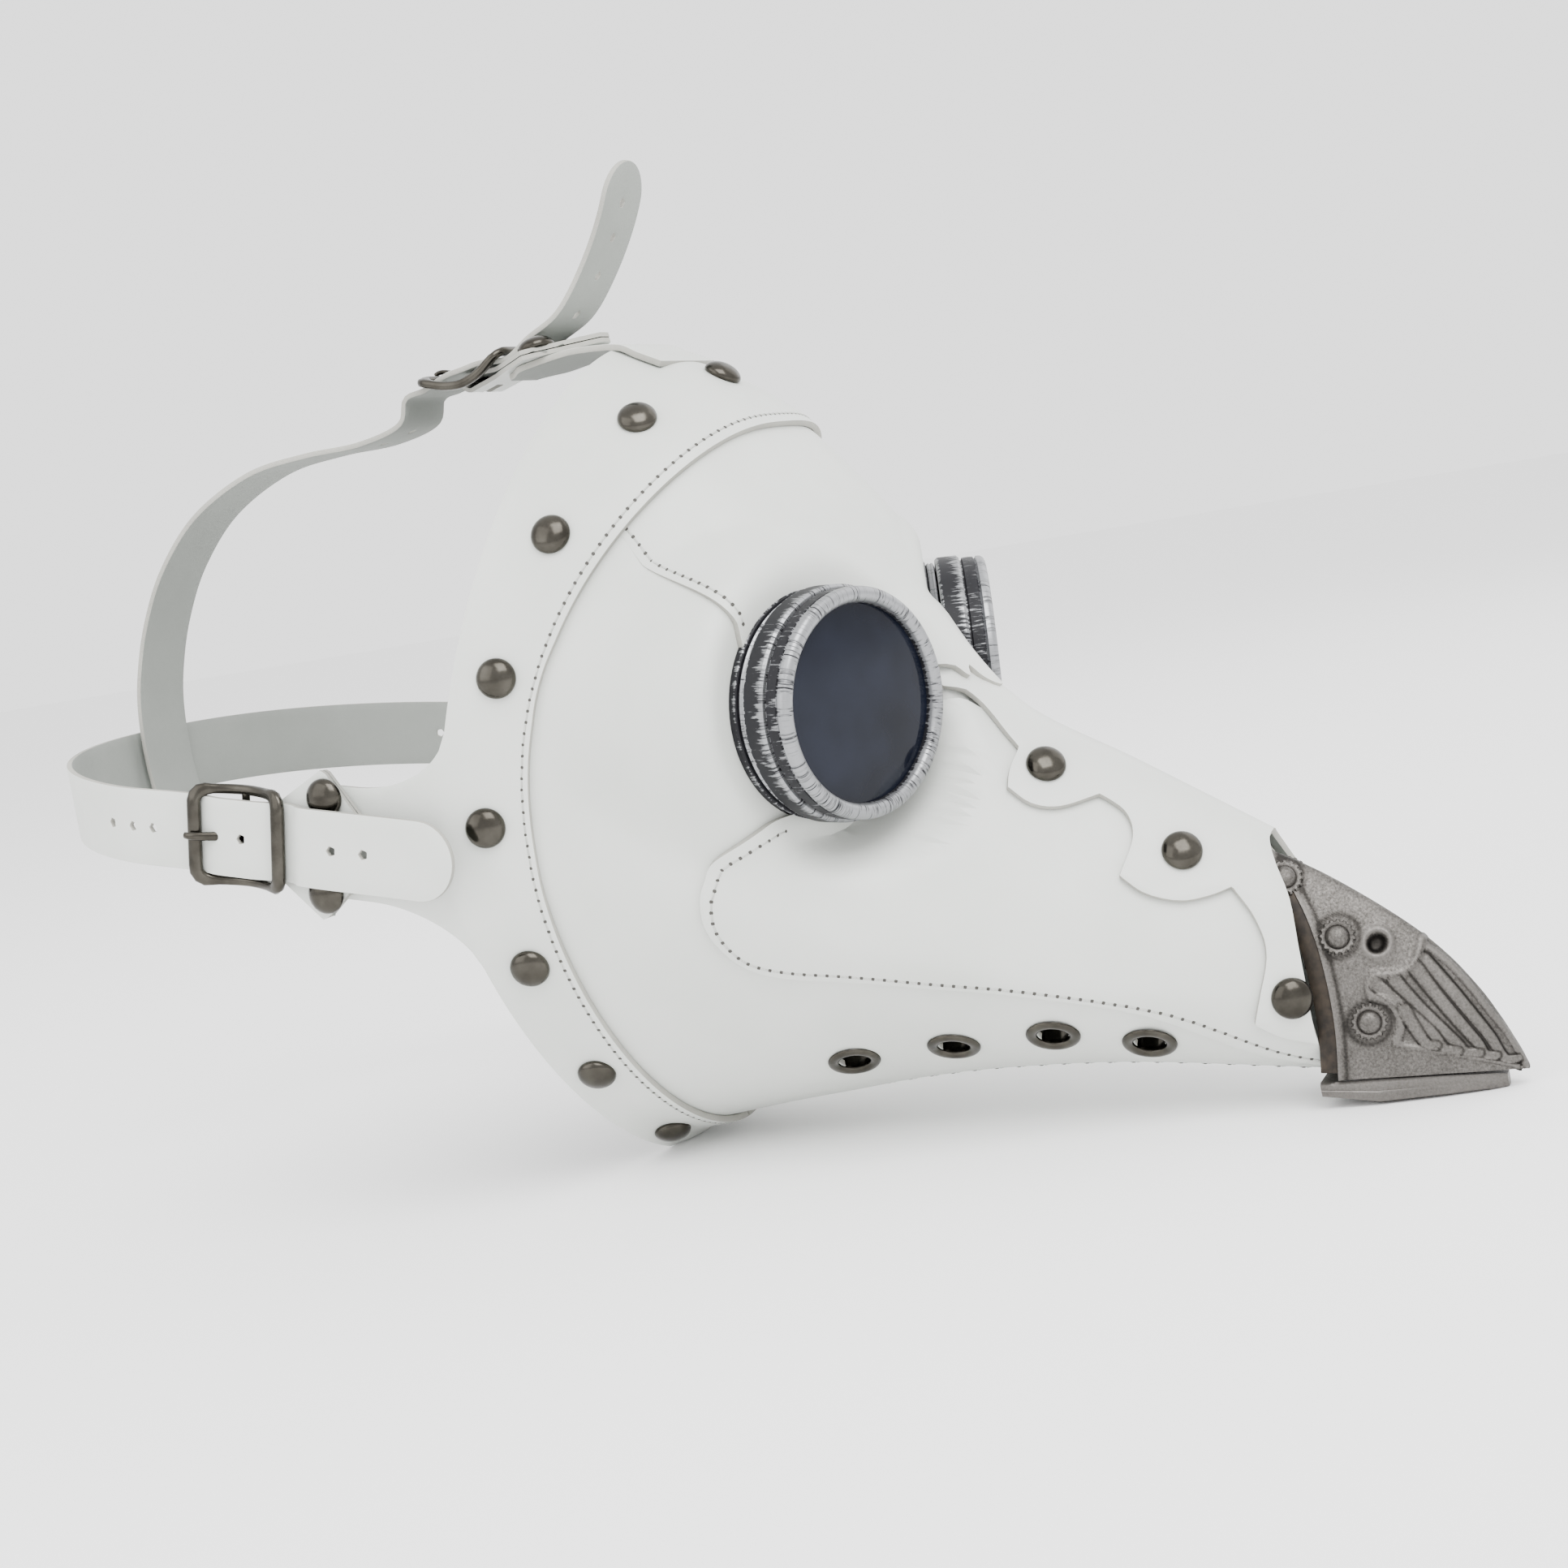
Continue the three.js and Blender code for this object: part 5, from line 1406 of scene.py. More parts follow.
def strip(length: float, half: Callable[[Array], Array], rounded: tuple[bool, bool]) -> Array:
    """The outline of a strap.

    Args:
        length: Its length.
        half: Its half width at distances along it.
        rounded: Whether its start and its end are rounded.

    Returns:
        The outline, as (along, across) in millimetres.
    """
    bend = STRAP_WIDTH / 2 * (1 - np.cos(np.linspace(0, np.pi / 2, 14)))
    l = np.unique(np.concatenate((np.linspace(0, length, 240), bend, length - bend)).round(4))
    wide = half(l)
    for end, far in ((rounded[0], l), (rounded[1], length - l)):
        if end:
            inner = np.clip(1 - far / STRAP_WIDTH * 2, 0, 1)
            wide = np.minimum(wide, STRAP_WIDTH / 2 * np.sqrt(1 - inner**2) + 0.02)
    return joined(np.column_stack((l, wide)), np.column_stack((l, -wide))[::-1])


@dataclass
class Straps:
    """The back strap, the top strap and the folded tabs that hold the buckles."""

    hole_places: Sequence = (-46.8, -37.6, -28.5, 1.5, 32, 41.5)
    top_holes: Sequence = (
        (-46.8, -7), (-37.6, -4), (-28.5, 0), (34, 9.1), (43.5, 16.8), (51, 25), (57, 33),
    )
    hole_radius: float = 1.4

    def _back(self) -> None:
        """The strap round the back of the head."""
        threaded = [*THREADED, (46, 5.6), (60, 6.0), (67.5, 6.2)]
        right = SIDE_SEAT.points([(x, 0, z) for x, z in threaded])[::-1]
        start = right[-1]
        turn = np.pi / 2 * np.arange(1, 8) / 7
        f = -start[1] + (-159 + start[1]) * np.sin(turn) ** 0.95
        half = np.column_stack((start[0] * np.abs(np.cos(turn)) ** 0.9, -f,
                                start[2] + (129 - start[2]) * np.sin(turn)))
        half[-1, 0] = 0
        outs = np.vstack((np.tile(at(1, 0, 0), (len(right), 1)),
                          np.column_stack((-np.cos(turn), np.sin(turn), 0 * turn))))
        points = np.vstack((right, half))
        mirror = np.array((-1, 1, 1))
        points = np.vstack((points, points[:-1][::-1] * mirror))
        outs = np.vstack((outs, outs[:-1][::-1] * mirror))
        ribbon = Ribbon(points, outs, STRAP_THICK / 2)
        outline = strip(ribbon.run[-1], lambda l: np.full(len(l), STRAP_WIDTH / 2), (True, True))
        holes = []
        for x in self.hole_places:
            place = ribbon.length_at(SIDE_SEAT.points([(x, 0, 5 if x > 0 else 2)])[0])
            for centre in (place, ribbon.run[-1] - place):
                holes.append(circle(self.hole_radius, 12, (centre, 0)))
        sheet = Sheet("back_strap_visual", outline, ribbon, (1, 1), holes, STRAP_THICK, 3.2, 1.6)
        fit(sheet.build(WHITE), "root", "back_strap")

    def _top(self) -> None:
        """The strap over the head, wide where it is folded on the back strap."""
        lower = [(-154, 117), (-155, 131), (-154, 146), (-151, 158), (-145, 172), (-135, 187),
                 (-119, 201), (-97, 210), (-76, 212), (-57, 212), (-42, 215)]
        threaded = [*THREADED, (34, 9.1), (45, 18.1), (55, 29.6), (63, 42.6)]
        points = np.vstack(([at(0, f, u) for f, u in lower],
                            TOP_SEAT.points([(x, 0, z) for x, z in threaded])))
        along = unit(np.gradient(points, axis=0))
        outs = np.cross((1, 0, 0), along)
        if outs[10, 2] < 0:
            outs = -outs
        ribbon = Ribbon(points, outs, STRAP_THICK / 2)
        outline = strip(ribbon.run[-1], self._top_half, (False, True))
        holes = [circle(self.hole_radius, 12, (ribbon.length_at(TOP_SEAT.points([(x, 0, z)])[0]), 0))
                 for x, z in self.top_holes]
        sheet = Sheet("top_strap_visual", outline, ribbon, (1, 1), holes, STRAP_THICK, 3.2, 1.6)
        fit(sheet.build(WHITE), "root", "top_strap")

    @staticmethod
    def _top_half(l: Array) -> Array:
        """The top strap's half width, wide at its folded foot."""
        return STRAP_WIDTH / 2 + 6.5 * (1 - smooth(26, 46, l))

    @staticmethod
    def tab(name: str, seat: Seat) -> bpy.types.Object:
        """A diamond tab folded in two round the buckle's centre bar."""
        inner, outer = 0.15, 1.2 + 0.15
        radius = 1.1 + 0.3 + 1.2
        turn = np.linspace(0.5, 1.5, 9) * np.pi
        fold = [(radius * math.cos(a), radius * math.sin(a)) for a in turn]
        upper = [(41, outer), (32, outer), (20, outer), (11, outer + 0.1), (5, 2.2), *fold]
        lower = [(5, -2.0), (11, -outer), (20, -outer), (32, -outer), (41, -outer)]
        path = np.array([*upper, *lower])
        points = seat.points([(x, 0, z) for x, z in path])
        normals = np.array([(0, 1.0)] * 5 + [(math.cos(a), math.sin(a)) for a in turn] + [(0, -1.0)] * 5)
        outs = seat.points([(x, 0, z) for x, z in normals]) - at(*seat.origin)
        ribbon = Ribbon(points, outs)
        l = ribbon.run
        x = (ribbon.path - at(*seat.origin)) @ seat.along
        half = np.interp(x, (0, 9, 25, 41), (8.5, 8.7, 20.4, 2.6))
        outline = joined(np.column_stack((l, half)), np.column_stack((l, -half))[::-1])
        middle = ribbon.length_at(seat.points([(-radius, 0, 0)])[0])
        slot = np.array([(middle + a, b) for a, b in ((-9, -1.9), (9, -1.9), (9, 1.9), (-9, 1.9))])
        sheet = Sheet(name, outline, ribbon, (1, 1), [slot], 1.2, 2.2, 1.1, ease=0.25)
        return sheet.build(WHITE)

    @staticmethod
    def top_ear() -> bpy.types.Object:
        """The ear at the crown, bent down onto the flange."""
        rim = FORM.place(np.array((0.05, 0.3, 0.6)), np.zeros(3))
        over = rim[0] + rim[1] * (FLANGE_LIFT + 0.35)
        first = TOP_SEAT.points([(12, 0, -1.5), (22, 0, -1.5), (32, 0, -1.7), (40, 0, -2.6)])
        ribbon = Ribbon(np.vstack((first, over)), np.vstack((np.tile(TOP_SEAT.out, (4, 1)), rim[1])))
        end = ribbon.run[-1]
        l = np.linspace(0, end, 60)
        half = 15 - 7.5 * (1 - smooth(0, 9, l)) + 2 * smooth(end - 22, end, l)
        outline = joined(np.column_stack((l, half)), np.column_stack((l, -half))[::-1])
        return Sheet("ear_top", outline, ribbon, (1, 1)).build(WHITE)

    def build(self) -> None:
        """Builds the straps, the tabs and the crown's ear."""
        self._back()
        self._top()
        fit(self.top_ear(), "root")
        right = self.tab("tab_right", SIDE_SEAT)
        left = mirrored(right, "tab_left")
        for obj in (right, left, self.tab("tab_top", TOP_SEAT)):
            fit(obj, "root", "buckle_" + obj.name)


@dataclass
class Buckle:
    """A bowed roller buckle with its prong and the tab's two rivets."""

    seat: Seat
    word: str
    length: float = 30.0
    height: float = 27.4
    bow: float = 4.9

    def _frame(self) -> bpy.types.Object:
        """The loop with rounded corners and its centre bar."""
        reach, half, corner = self.length / 2 - 1.7, self.height / 2 - 1.3, 3.2
        path = []
        for cx, cy, start in ((1, 1, 0), (-1, 1, 90), (-1, -1, 180), (1, -1, 270)):
            for a in np.radians(np.linspace(start, start + 90, 9)):
                path.append((cx * (reach - corner) + corner * math.cos(a),
                             cy * (half - corner) + corner * math.sin(a)))
        flat = resampled(np.array([*path, path[0]]), 1.6)[:-1]
        z = self.bow * np.abs(flat[:, 0] / reach) ** 1.8
        points = self.seat.points(np.column_stack((flat, z)))
        end = smooth(0.62, 0.92, np.abs(flat[:, 0]) / reach)
        turn = np.arange(12) * np.pi / 6
        c, s = np.cos(turn), np.sin(turn)
        shape = np.column_stack((np.sign(c) * np.abs(c) ** 0.7, np.sign(s) * np.abs(s) ** 0.7))
        sizes = np.column_stack((1.35 + 0.6 * end, 1.25 - 0.05 * end))
        loop = swept("loop", points, np.tile(self.seat.out, (len(points), 1)), shape * sizes[:, None], True)
        bar = self.seat.points([(0, y, 0) for y in np.linspace(-half, half, 5)])
        rod = swept("bar", bar, np.tile(self.seat.out, (5, 1)), circle(1.1, 14), False)
        both = merged(f"buckle_loop_{self.word}", [loop, rod])
        shade(both, 50)
        GUNMETAL.put_on(both)
        return both

    def _prong(self) -> bpy.types.Object:
        """The tapered prong looped on the centre bar."""
        side = spline([(0.3, 1.75), (-3, 2.4), (-7, 4.6), (-11, 6.7), (-13.2, 7.3), (-14.8, 7.1)], 5)
        points = self.seat.points([(x, 0, z) for x, z in side])
        share = np.linspace(0, 1, len(side))
        turn = np.arange(10) * np.pi / 5
        sizes = np.column_stack((1.45 - 0.55 * share, 0.85 - 0.2 * share))
        sections = np.column_stack((np.cos(turn), np.sin(turn))) * sizes[:, None]
        tongue = swept("tongue", points, np.tile(self.seat.out, (len(points), 1)), sections, False)
        turn = np.arange(17) * 2 * np.pi / 16
        ring = self.seat.points(np.column_stack((1.65 * np.cos(turn), 0 * turn, 1.65 * np.sin(turn))))[:-1]
        outs = ring - at(*self.seat.origin)
        eye = swept("eye", ring, outs, circle(1, 8) * (1.4, 0.45), True)
        prong = merged(f"prong_{self.word}_visual", [tongue, eye])
        shade(prong, 50)
        GUNMETAL.put_on(prong)
        return prong

    def _rivets(self) -> bpy.types.Object:
        """The two rivets through the tab and the ear."""
        parts = []
        for y in (-12.8, 12.8):
            point = self.seat.points([(26, y, 0)])[0]
            parts.append(Fittings.dome(f"tab_{y}", point, self.seat.out, 1.4))
        return merged(f"rivets_of_tab_{self.word}", parts)

    def build(self) -> list[tuple[bpy.types.Object, str, str]]:
        """The buckle's pieces with their bodies and the nodes they stand for."""
        return [
            (self._frame(), "buckle", "buckle_frame"),
            (self._prong(), "prong", "buckle_prong"),
            (self._rivets(), "root", "tab_rivets"),
        ]


def build_buckles() -> None:
    """Builds the right and top buckles and mirrors the right one."""
    for seat, word in ((SIDE_SEAT, "right"), (TOP_SEAT, "top")):
        for obj, body, node in Buckle(seat, word).build():
            twins = [(obj, word)]
            if word == "right":
                twins.append((mirrored(obj, obj.name.replace("right", "left")), "left"))
            for piece, name in twins:
                fit(piece, body if body == "root" else f"{body}_{name}", f"{node}_{name}")


# ---------------------------------------------------------------- goggles
@dataclass
class Goggle:
    """A threaded eyecup with a lens ring that screws on it."""

    bore: float = 23.0
    flange: float = 29.4
    ring: float = 30.0

    @staticmethod
    def _cup_rub(p: Array) -> Array:
        """Silver on the double ridge and some on the flange's edge, black on the rest."""
        heights = (2.0, 2.2, 3.9, 4.4, 4.7, 6.6, 6.9)
        return np.interp(p[:, 2], heights, (0.1, 0.3, 0.5, 0.2, 0.62, 0.62, 0.12))

    @staticmethod
    def _ring_rub(p: Array) -> Array:
        """Nearly bare silver on the front ring, some on the bands' edges."""
        heights = (7.2, 7.9, 8.5, 9.5, 11.5, 13.3, 14, 14.6, 18)
        rub = np.interp(p[:, 2], heights, (0.66, 0.5, 0.2, 0.27, 0.4, 0.56, 0.6, 0.34, 0.36))
        rub[(p[:, 2] > 18.3) & (np.hypot(p[:, 0], p[:, 1]) > 25.1)] = 0.62
        return rub

    def _cup(self, place: Matrix) -> bpy.types.Object:
        """The eyecup: a flange, a rounded double ridge and the threaded neck."""
        neck = [(26.0 - 0.25 * (k % 2), 7.2 + 0.5 * k) for k in range(20)]
        profile = [
            (self.bore, -5), (25, -5), (25, 2.1), (self.flange, 2.1), (self.flange, 3.9), (29.0, 4.3),
            (27.9, 4.4), (28.5, 4.7), (28.75, 5.2), (28.4, 5.6), (28.75, 6.1), (28.5, 6.6), (27.6, 6.9),
            (26.4, 6.9), *neck, (self.bore, 17.2), (self.bore, -5),
        ]
        return turned("eyecup_right_visual", profile, place, 96, self._cup_rub)

    def _ring(self, place: Matrix) -> bpy.types.Object:
        """The lens ring: a wide band, a groove, a narrow band and a rounded front."""
        turn = np.linspace(0, math.pi, 13)
        nose = [(27.2 + 2.0 * math.cos(a), 19.6 + 1.8 * math.sin(a)) for a in turn]
        band = [(self.ring, height) for height in (7.9, 8.5, 9.5, 11.5, 13.3)]
        profile = [
            (26.3, 7.2), (29.4, 7.2), *band, (29.4, 14.0), (28.5, 14.1), (28.4, 14.6), (29.1, 14.9),
            (29.2, 16.5), (29.1, 18.0), (28.4, 18.4), (29.2, 18.9),
            *nose, (25.0, 19.0), (25.0, 18.2), (26.3, 18.0), (26.3, 7.2),
        ]
        return turned("lens_ring_right_visual", profile, place, 128, self._ring_rub)

    def _lens(self, place: Matrix) -> bpy.types.Object:
        """The slightly domed lens."""
        dome = [(r, 19.3 - 0.9 * (r / 25.4) ** 2) for r in np.linspace(0, 25.4, 14)]
        return turned("lens_right_visual", [*dome, (25.4, 17.8), (0, 17.8)], place, 96)

    def _clamp(self, place: Matrix) -> bpy.types.Object:
        """The ring inside the mask that clamps the leather."""
        profile = [
            (25.3, -0.4), (28.6, -0.4), (28.8, -0.8), (28.8, -2.0), (28.4, -2.4), (25.3, -2.4),
            (25.3, -0.4),
        ]
        return turned("clamp_right_visual", profile, place, 80, lambda p: np.full(len(p), 0.1))

    def build(self) -> None:
        """Builds the right goggle and mirrors it."""
        place = axis_matrix(FORM.eye, FORM.eye_axis)
        rows = (
            (self._cup(place), BLACK, "root", "eyecup"),
            (self._ring(place), BLACK, "lens_ring", "lens_ring"),
            (self._lens(place), SMOKED, "lens_carriage", "lens"),
            (self._clamp(place), BLACK, "root", "clamp_ring"),
        )
        for obj, finish, body, node in rows:
            finish.put_on(obj)
            twin = mirrored(obj, obj.name.replace("right", "left"))
            for piece, word in ((obj, "right"), (twin, "left")):
                fit(piece, body if body == "root" else f"{body}_{word}", f"{node}_{word}")


# ---------------------------------------------------------------- bill
@dataclass
class Bill:
    """The cast bill: an arched upper half with raised scrolls, and a slim lower half."""

    # top f, top u, half width, lip f, lip u
    stations: Sequence = (
        (176, 69, 17.2, 186, 8.4), (183, 66.5, 16, 194, 8), (200, 56.5, 13.2, 207, 7.2),
        (220, 40.5, 9.2, 222, 6.2), (232, 25.5, 5.4, 233, 5.2), (239, 11.5, 2.2, 239.5, 4.4),
        (241.5, 5.2, 0.5, 241.5, 3.9),
    )
    rear: Sequence = ((183, 90), (184.5, 66.5), (190.5, 56), (194.5, 46), (197, 34), (198, 20), (197, 4))
    scroll: Sequence = (
        (220.1, 39), (219.5, 36.5), (218.2, 34), (215.9, 32.4), (212.8, 31.8), (209.7, 32.2),
        (207.8, 31.4), (207.1, 29.8), (207.3, 27.6), (209.1, 26.8), (211.1, 25.9), (212.7, 23.8),
        (213.6, 21), (213.3, 18.3), (211.7, 15.4),
    )
    top_line: Sequence = (
        (220.8, 37.6), (225.8, 32.5), (230.4, 25.9), (234.2, 19.2), (237.9, 12.9), (240.9, 4.8),
    )
    low_line: Sequence = ((211.7, 15.4), (214.3, 14.3), (224.6, 10.9), (233.1, 7.9), (238.9, 5.4))
    feathers: Sequence = (
        ((220.4, 34.3), (225.4, 27.1), (230.1, 19.6), (233.7, 13.4), (236.2, 7.9), (239.1, 7)),
        ((218.3, 32.7), (222.2, 26.2), (226.8, 18.8), (230.6, 12.8), (232.1, 9.6), (234.5, 8.7)),
        ((213.3, 30.3), (217.9, 23.7), (222.7, 17.5), (226.2, 13), (227.7, 10.9), (230.8, 10.1)),
        ((208.6, 30.5), (212.8, 25.6), (216.8, 21.2), (220.8, 16.3), (223, 12.5), (226.1, 11.4)),
        ((214.7, 22.9), (215.9, 20.2), (217.9, 16), (219.3, 13.9), (221.3, 13.4)),
    )
    bosses: Sequence = ((188.2, 57.7), (200.8, 42.8), (206.3, 21.0))
    nostril: tuple = (209.9, 39.9)
    rows: int = 190
    columns: int = 181

    def __post_init__(self) -> None:
        """Works out the bare surface of the upper bill and its normals."""
        knots = spline(self.stations, 12)
        turn = np.linspace(-np.pi / 2, np.pi / 2, self.columns)
        top_f, top_u, wide, lip_f, lip_u = knots.T[:, :, None]
        c = np.abs(np.cos(turn))[None] ** 1.25
        s = (np.abs(np.sin(turn)) ** 1.25 * np.sign(turn))[None]
        fine = np.stack((wide * s, lip_f + (top_f - lip_f) * c, lip_u + (top_u - lip_u) * c), -1)
        rear = spline(self.rear, 6)[::-1]
        edge = np.interp(fine[..., 2], rear[:, 1], rear[:, 0])
        start = (fine[..., 1] >= edge).argmax(0)
        share = np.linspace(0, 1, self.rows)
        rows = np.arange(len(knots))
        self.grid = np.empty((self.rows, self.columns, 3))
        for j in range(self.columns):
            k = max(start[j], 1)
            gap = fine[k - 1:k + 1, j, 1] - edge[k - 1:k + 1, j]
            first = k - 1 + np.clip(-gap[0] / max(gap[1] - gap[0], 1e-6), 0, 1)
            wanted = first + (rows[-1] - first) * share
            for axis in range(3):
                self.grid[:, j, axis] = np.interp(wanted, rows, fine[:, j, axis])
        self.grid = self.grid * (-1, -1, 1)
        normals = np.cross(np.gradient(self.grid, axis=1), np.gradient(self.grid, axis=0))
        middle = normals[20, self.columns // 2]
        self.normals = unit(normals if middle[2] > 0 else -normals)

    @staticmethod
    def _gap(flat: Array, line: Array) -> tuple[Array, Array]:
        """The distance from each side view point to a line, and how far along it is nearest."""
        best, where = np.full(len(flat), np.inf), np.zeros(len(flat))
        for k, (a, b) in enumerate(zip(line[:-1], line[1:])):
            edge = b - a
            t = np.clip(((flat - a) @ edge) / max(edge @ edge, 1e-9), 0, 1)
            far = np.linalg.norm(flat - a - t[:, None] * edge, axis=1)
            closer = far < best
            best[closer], where[closer] = far[closer], (k + t[closer]) / (len(line) - 1)
        return best, where

    def _relief(self, flat: Array) -> tuple[Array, Array]:
        """How high each point of the side view stands, and how worn it looks."""
        height, worn = np.zeros(len(flat)), np.full(len(flat), 0.42)
        scroll, top, low = (spline(line, 6) for line in (self.scroll, self.top_line, self.low_line))
        sunk = inside(flat, np.vstack((scroll[::-1], top, low[::-1])))
        height[sunk] -= 0.5
        worn[sunk] = 0.36
        for line, wide, rise in ((scroll, 1.15, 0.75), (top, 0.75, 0.45), (low, 0.7, 0.5)):
            gap, _ = self._gap(flat, line)
            ridge = np.exp(-((gap / wide) ** 4))
            height = np.maximum(height, ridge * rise + height * (1 - ridge))
            worn = np.maximum(worn * (1 - ridge), ridge * 0.68)
        for bar in self.feathers:
            gap, where = self._gap(flat, spline(bar, 6))
            ridge = np.exp(-((gap / (1.6 - 0.6 * where)) ** 6))
            height = np.maximum(height, ridge * 0.6 - 0.3)
            worn = np.maximum(worn * (1 - ridge), ridge * 0.58)
            halo = np.exp(-(((gap - 1.85 + 0.65 * where) / 0.3) ** 2)) * sunk
            worn *= 1 - 0.75 * halo
        away = np.linalg.norm(flat - self.nostril, axis=1)
        rim = np.exp(-(((away - 3.2) / 0.8) ** 2))
        hollow = np.exp(-((away / 2.1) ** 6))
        height += 0.7 * rim - 2.2 * hollow
        worn = np.clip(worn + 0.4 * rim - hollow, 0, 1)
        gap, _ = self._gap(flat, spline(self.rear, 6))
        height += 0.35 * np.exp(-((gap / 1.1) ** 4))
        worn += 0.25 * np.exp(-((gap / 1.1) ** 4)) - 0.3 * np.exp(-(((gap - 2.1) / 0.6) ** 2))
        for boss in self.bosses:
            away = np.linalg.norm(flat - boss, axis=1)
            worn -= 0.3 * np.exp(-(((away - 5.2) / 0.7) ** 2))
        return height, np.clip(worn, 0, 1)

    def spot(self, f: float, u: float) -> tuple[Array, Array]:
        """The place and normal on the right of the bill that a side view shows at (f, u)."""
        half = self.grid[:, :, 0] <= 0
        miss = (self.grid[:, :, 1] + f) ** 2 + (self.grid[:, :, 2] - u) ** 2 + np.where(half, 0, 1e6)
        i, j = np.unravel_index(miss.argmin(), miss.shape)
        return self.grid[i, j], self.normals[i, j]

    def _upper(self) -> bpy.types.Object:
        """The upper bill with its scrolls."""
        flat = self.grid[..., 1:].reshape(-1, 2) * (-1, 1)
        height, worn = self._relief(flat)
        fade = np.clip(np.abs(self.grid[..., 0]).ravel() / 1.5, 0, 1)
        points = self.grid.reshape(-1, 3) + self.normals.reshape(-1, 3) * (height * fade)[:, None]
        obj = new_piece("upper_bill_visual", points, grid_faces(self.rows, self.columns))
        note(obj, "relief", worn)
        normal = obj.data.polygons[self.columns * 10 + self.columns // 2].normal
        if normal.z < 0:
            obj.data.flip_normals()
        finish_with(obj, "SOLIDIFY", thickness=1.9 * MM, offset=-1.0)
        shade(obj, 60)
        PEWTER.put_on(obj)
        return obj

    def _lower(self) -> bpy.types.Object:
        """The lower bill, with a raised bead along each top edge."""
        plan = np.array(((192.5, 15), (207, 12.4), (222, 8.3), (232, 4.6), (236.4, 1.6)))
        f = np.linspace(192.5, 236.2, 60)
        wide = np.interp(f, *plan.T)
        low = np.interp(f, (192.5, 206, 236.4), (3, 0, 0))
        high = np.interp(f, (192.5, 207, 222, 233, 236.4), (7.2, 6.5, 5.4, 4.1, 3.2))
        tall = high - low
        half = [
            (0, 0), (0.8, 0), (0.97, 0.15), (0.99, 0.45), (1.0, 0.5), (0.985, 0.56), (1.0, 0.62),
            (1.0, 0.85), (0.95, 1), (0.5, 1.0), (0, 1),
        ]
        section = np.array(half + [(-x, z) for x, z in half[-2:0:-1]])
        points = np.stack((wide[:, None] * section[:, 0], np.repeat(-f[:, None], len(section), 1),
                           low[:, None] + tall[:, None] * section[:, 1]), -1)
        count = len(section)
        faces = grid_faces(len(f), count, wrap=True)
        faces += [tuple(range(count)), tuple(range(len(f) * count - count, len(f) * count))]
        obj = new_piece("lower_bill_visual", points.reshape(-1, 3), faces)
        outward(obj)
        rub = np.tile(0.4 + 0.3 * np.abs(section[:, 0]), len(f))
        if len(obj.data.vertices) == len(rub):
            note(obj, "relief", rub)
        shade(obj, 45)
        PEWTER.put_on(obj)
        return obj

    def _collar(self) -> bpy.types.Object:
        """A dark strip in the gap between the leather and the bill, painted shade of the gap."""
        path = self.grid[0] + self.normals[0] * -0.5
        path = path + np.array((0, 1.6, 0))
        section = np.array(((-2.6, -0.8), (2.6, -0.8), (2.6, 0.5), (1.8, 0.9), (-1.8, 0.9), (-2.6, 0.5)))
        obj = swept("bill_collar", path[4:-4:2], self.normals[0][4:-4:2], section, False)
        shade(obj, 40)
        GAP_SHADE.put_on(obj)
        return obj

    def _boss(self, name: str, f: float, u: float) -> bpy.types.Object:
        """A riveted boss with a scalloped ring."""
        point, normal = self.spot(f, u)
        toothed = ((4.7, -0.6), (4.7, 0.5), (4.2, 1.0))
        plain = ((3.3, 1.0), (2.9, 0.7), (2.7, 1.5), (2.2, 2.1), (1.2, 2.45))
        sides = 96
        turn = np.arange(sides) * 2 * np.pi / sides
        tooth = 1 - 0.1 * (np.cos(16 * turn) > 0.2)
        rows = []
        for profile, share in ((toothed, tooth), (plain, np.ones(sides))):
            for radius, height in profile:
                rows.append(np.column_stack((radius * share * np.cos(turn), radius * share * np.sin(turn),
                                             np.full(sides, height))))
        points = np.vstack((*rows, [(0, 0, 2.55)], [(0, 0, -0.6)]))
        faces = grid_faces(len(rows), sides, wrap=True)
        last, top = (len(rows) - 1) * sides, len(rows) * sides
        faces += [(last + k, last + (k + 1) % sides, top) for k in range(sides)]
        faces += [((k + 1) % sides, k, top + 1) for k in range(sides)]
        mesh = bpy.data.meshes.new(name)
        mesh.from_pydata(points.tolist(), [], faces)
        obj = bpy.data.objects.new(name, mesh)
        bpy.context.scene.collection.objects.link(obj)
        outward(obj)
        worn = np.array([0.5 if k % 4 else 0.4 for k in range(len(obj.data.vertices))])
        note(obj, "relief", worn)
        settle(obj, axis_matrix(point, normal))
        shade(obj, 40)
        PEWTER.put_on(obj)
        return obj

    def build(self) -> None:
        """Builds the bill."""
        fit(self._upper(), "root", "upper_bill")
        fit(self._lower(), "root", "lower_bill")
        fit(self._collar(), "root")
        bosses = [self._boss(f"boss_{k}", *place) for k, place in enumerate(self.bosses)]
        right = merged("bill_bosses_right", bosses)
        left = mirrored(right, "bill_bosses_left")
        for obj in (right, left):
            fit(obj, "root")


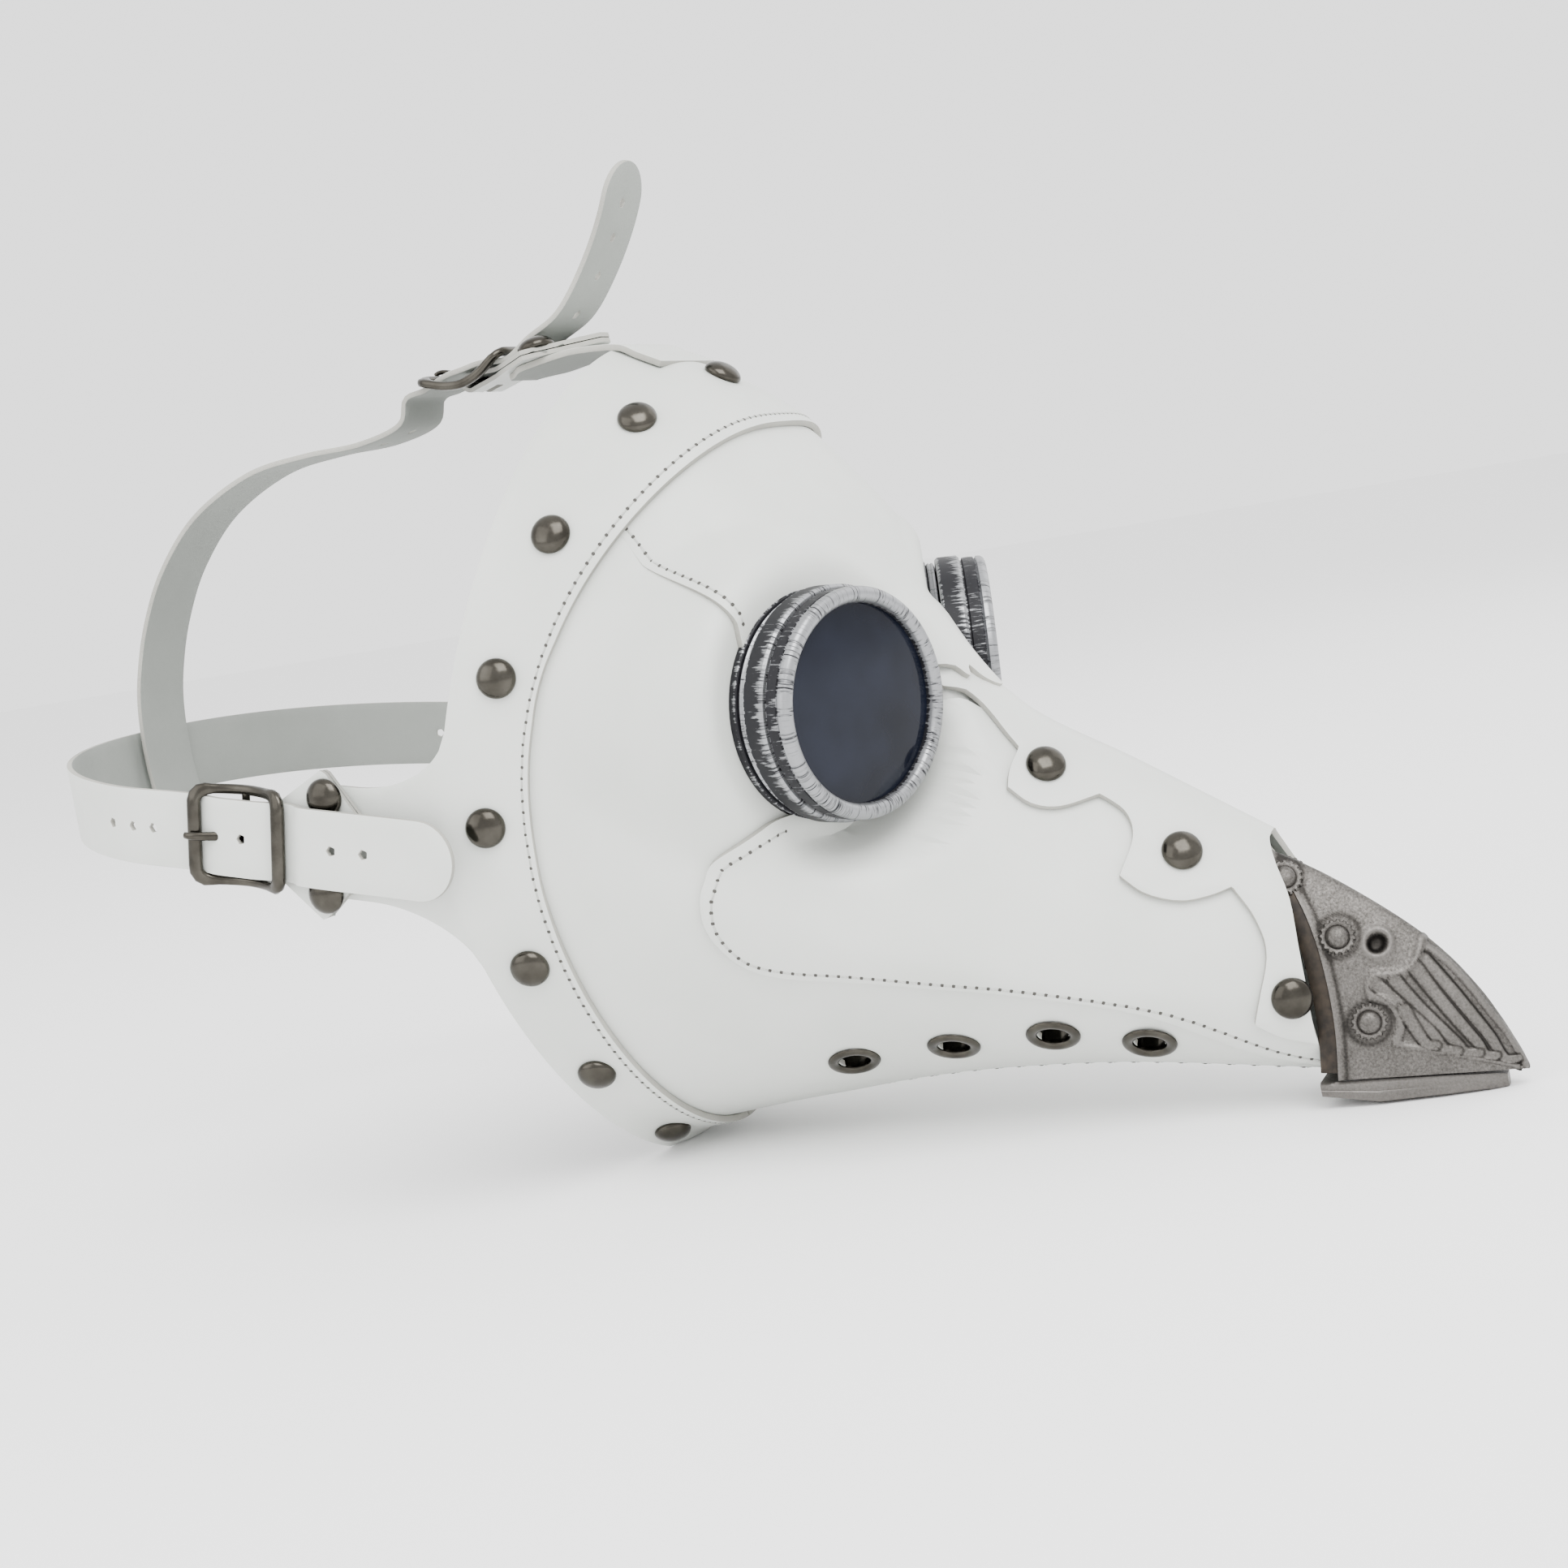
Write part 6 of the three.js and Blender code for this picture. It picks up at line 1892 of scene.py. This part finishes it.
# ---------------------------------------------------------------- setting
@dataclass(frozen=True)
class Studio:
    """A pale floor, soft lights and the camera."""

    target: tuple[float, float, float] = (0, 53.42, 97.54)
    right: tuple[float, float, float] = (-0.39993, 0.90033, -0.17164)
    up: tuple[float, float, float] = (-0.16625, 0.11290, 0.97960)
    distance: float = 650.0
    lens: float = 53.66
    # strength, size in metres, and place as sideways, forward and up in metres
    lamps: tuple = (
        (34.0, 1.1, (0.75, 0.75, 1.35)), (12.0, 1.4, (1.2, -0.7, 0.9)), (9.0, 1.4, (-1.1, 0.8, 1.0)),
    )

    def _floor(self) -> None:
        """The floor under the mask."""
        bpy.ops.mesh.primitive_plane_add(size=14, location=(0, 0, -0.0002))
        floor = bpy.context.object
        floor.name = "floor"
        material = bpy.data.materials.new("floor")
        material.use_nodes = True
        shader = material.node_tree.nodes["Principled BSDF"]
        shader.inputs["Base Color"].default_value = (0.93, 0.93, 0.93, 1)
        shader.inputs["Roughness"].default_value = 0.9
        floor.data.materials.append(material)

    def _world(self) -> None:
        """An even white surround."""
        world = bpy.data.worlds.new("studio")
        world.use_nodes = True
        sky = world.node_tree.nodes["Background"]
        sky.inputs["Color"].default_value = (1, 1, 1, 1)
        sky.inputs["Strength"].default_value = 2.05
        bpy.context.scene.world = world

    def build(self) -> None:
        """Places the floor, the surround, the lights and the camera."""
        self._floor()
        self._world()
        target = Vector(at(*self.target) + (0, ROW_SHIFT, 0)) * MM
        for k, (power, size, (r, f, u)) in enumerate(self.lamps):
            bpy.ops.object.light_add(type="AREA", location=(-r, -f + ROW_SHIFT * MM, u))
            lamp = bpy.context.object
            lamp.name = f"soft_light_{k}"
            lamp.data.energy = power
            lamp.data.size = size
            lamp.rotation_euler = (target - lamp.location).to_track_quat("-Z", "Y").to_euler()
        right = Vector(at(*self.right)).normalized()
        back = right.cross(Vector(at(*self.up))).normalized()
        place = target + back * self.distance * MM
        bpy.ops.object.camera_add(location=place)
        camera = bpy.context.object
        camera.rotation_euler = Matrix((right, back.cross(right), back)).transposed().to_euler()
        camera.data.lens = self.lens
        camera.data.sensor_width = 36
        camera.data.clip_start = 0.01
        bpy.context.scene.camera = camera


def main() -> None:
    """Builds the mask and its setting in order."""
    logging.basicConfig(level=logging.INFO, format="%(name)s: %(message)s")
    Shell().build()
    Straps().build()
    Fittings().build()
    build_buckles()
    Goggle().build()
    Bill().build()
    Studio().build()


if __name__ == "__main__":
    main()
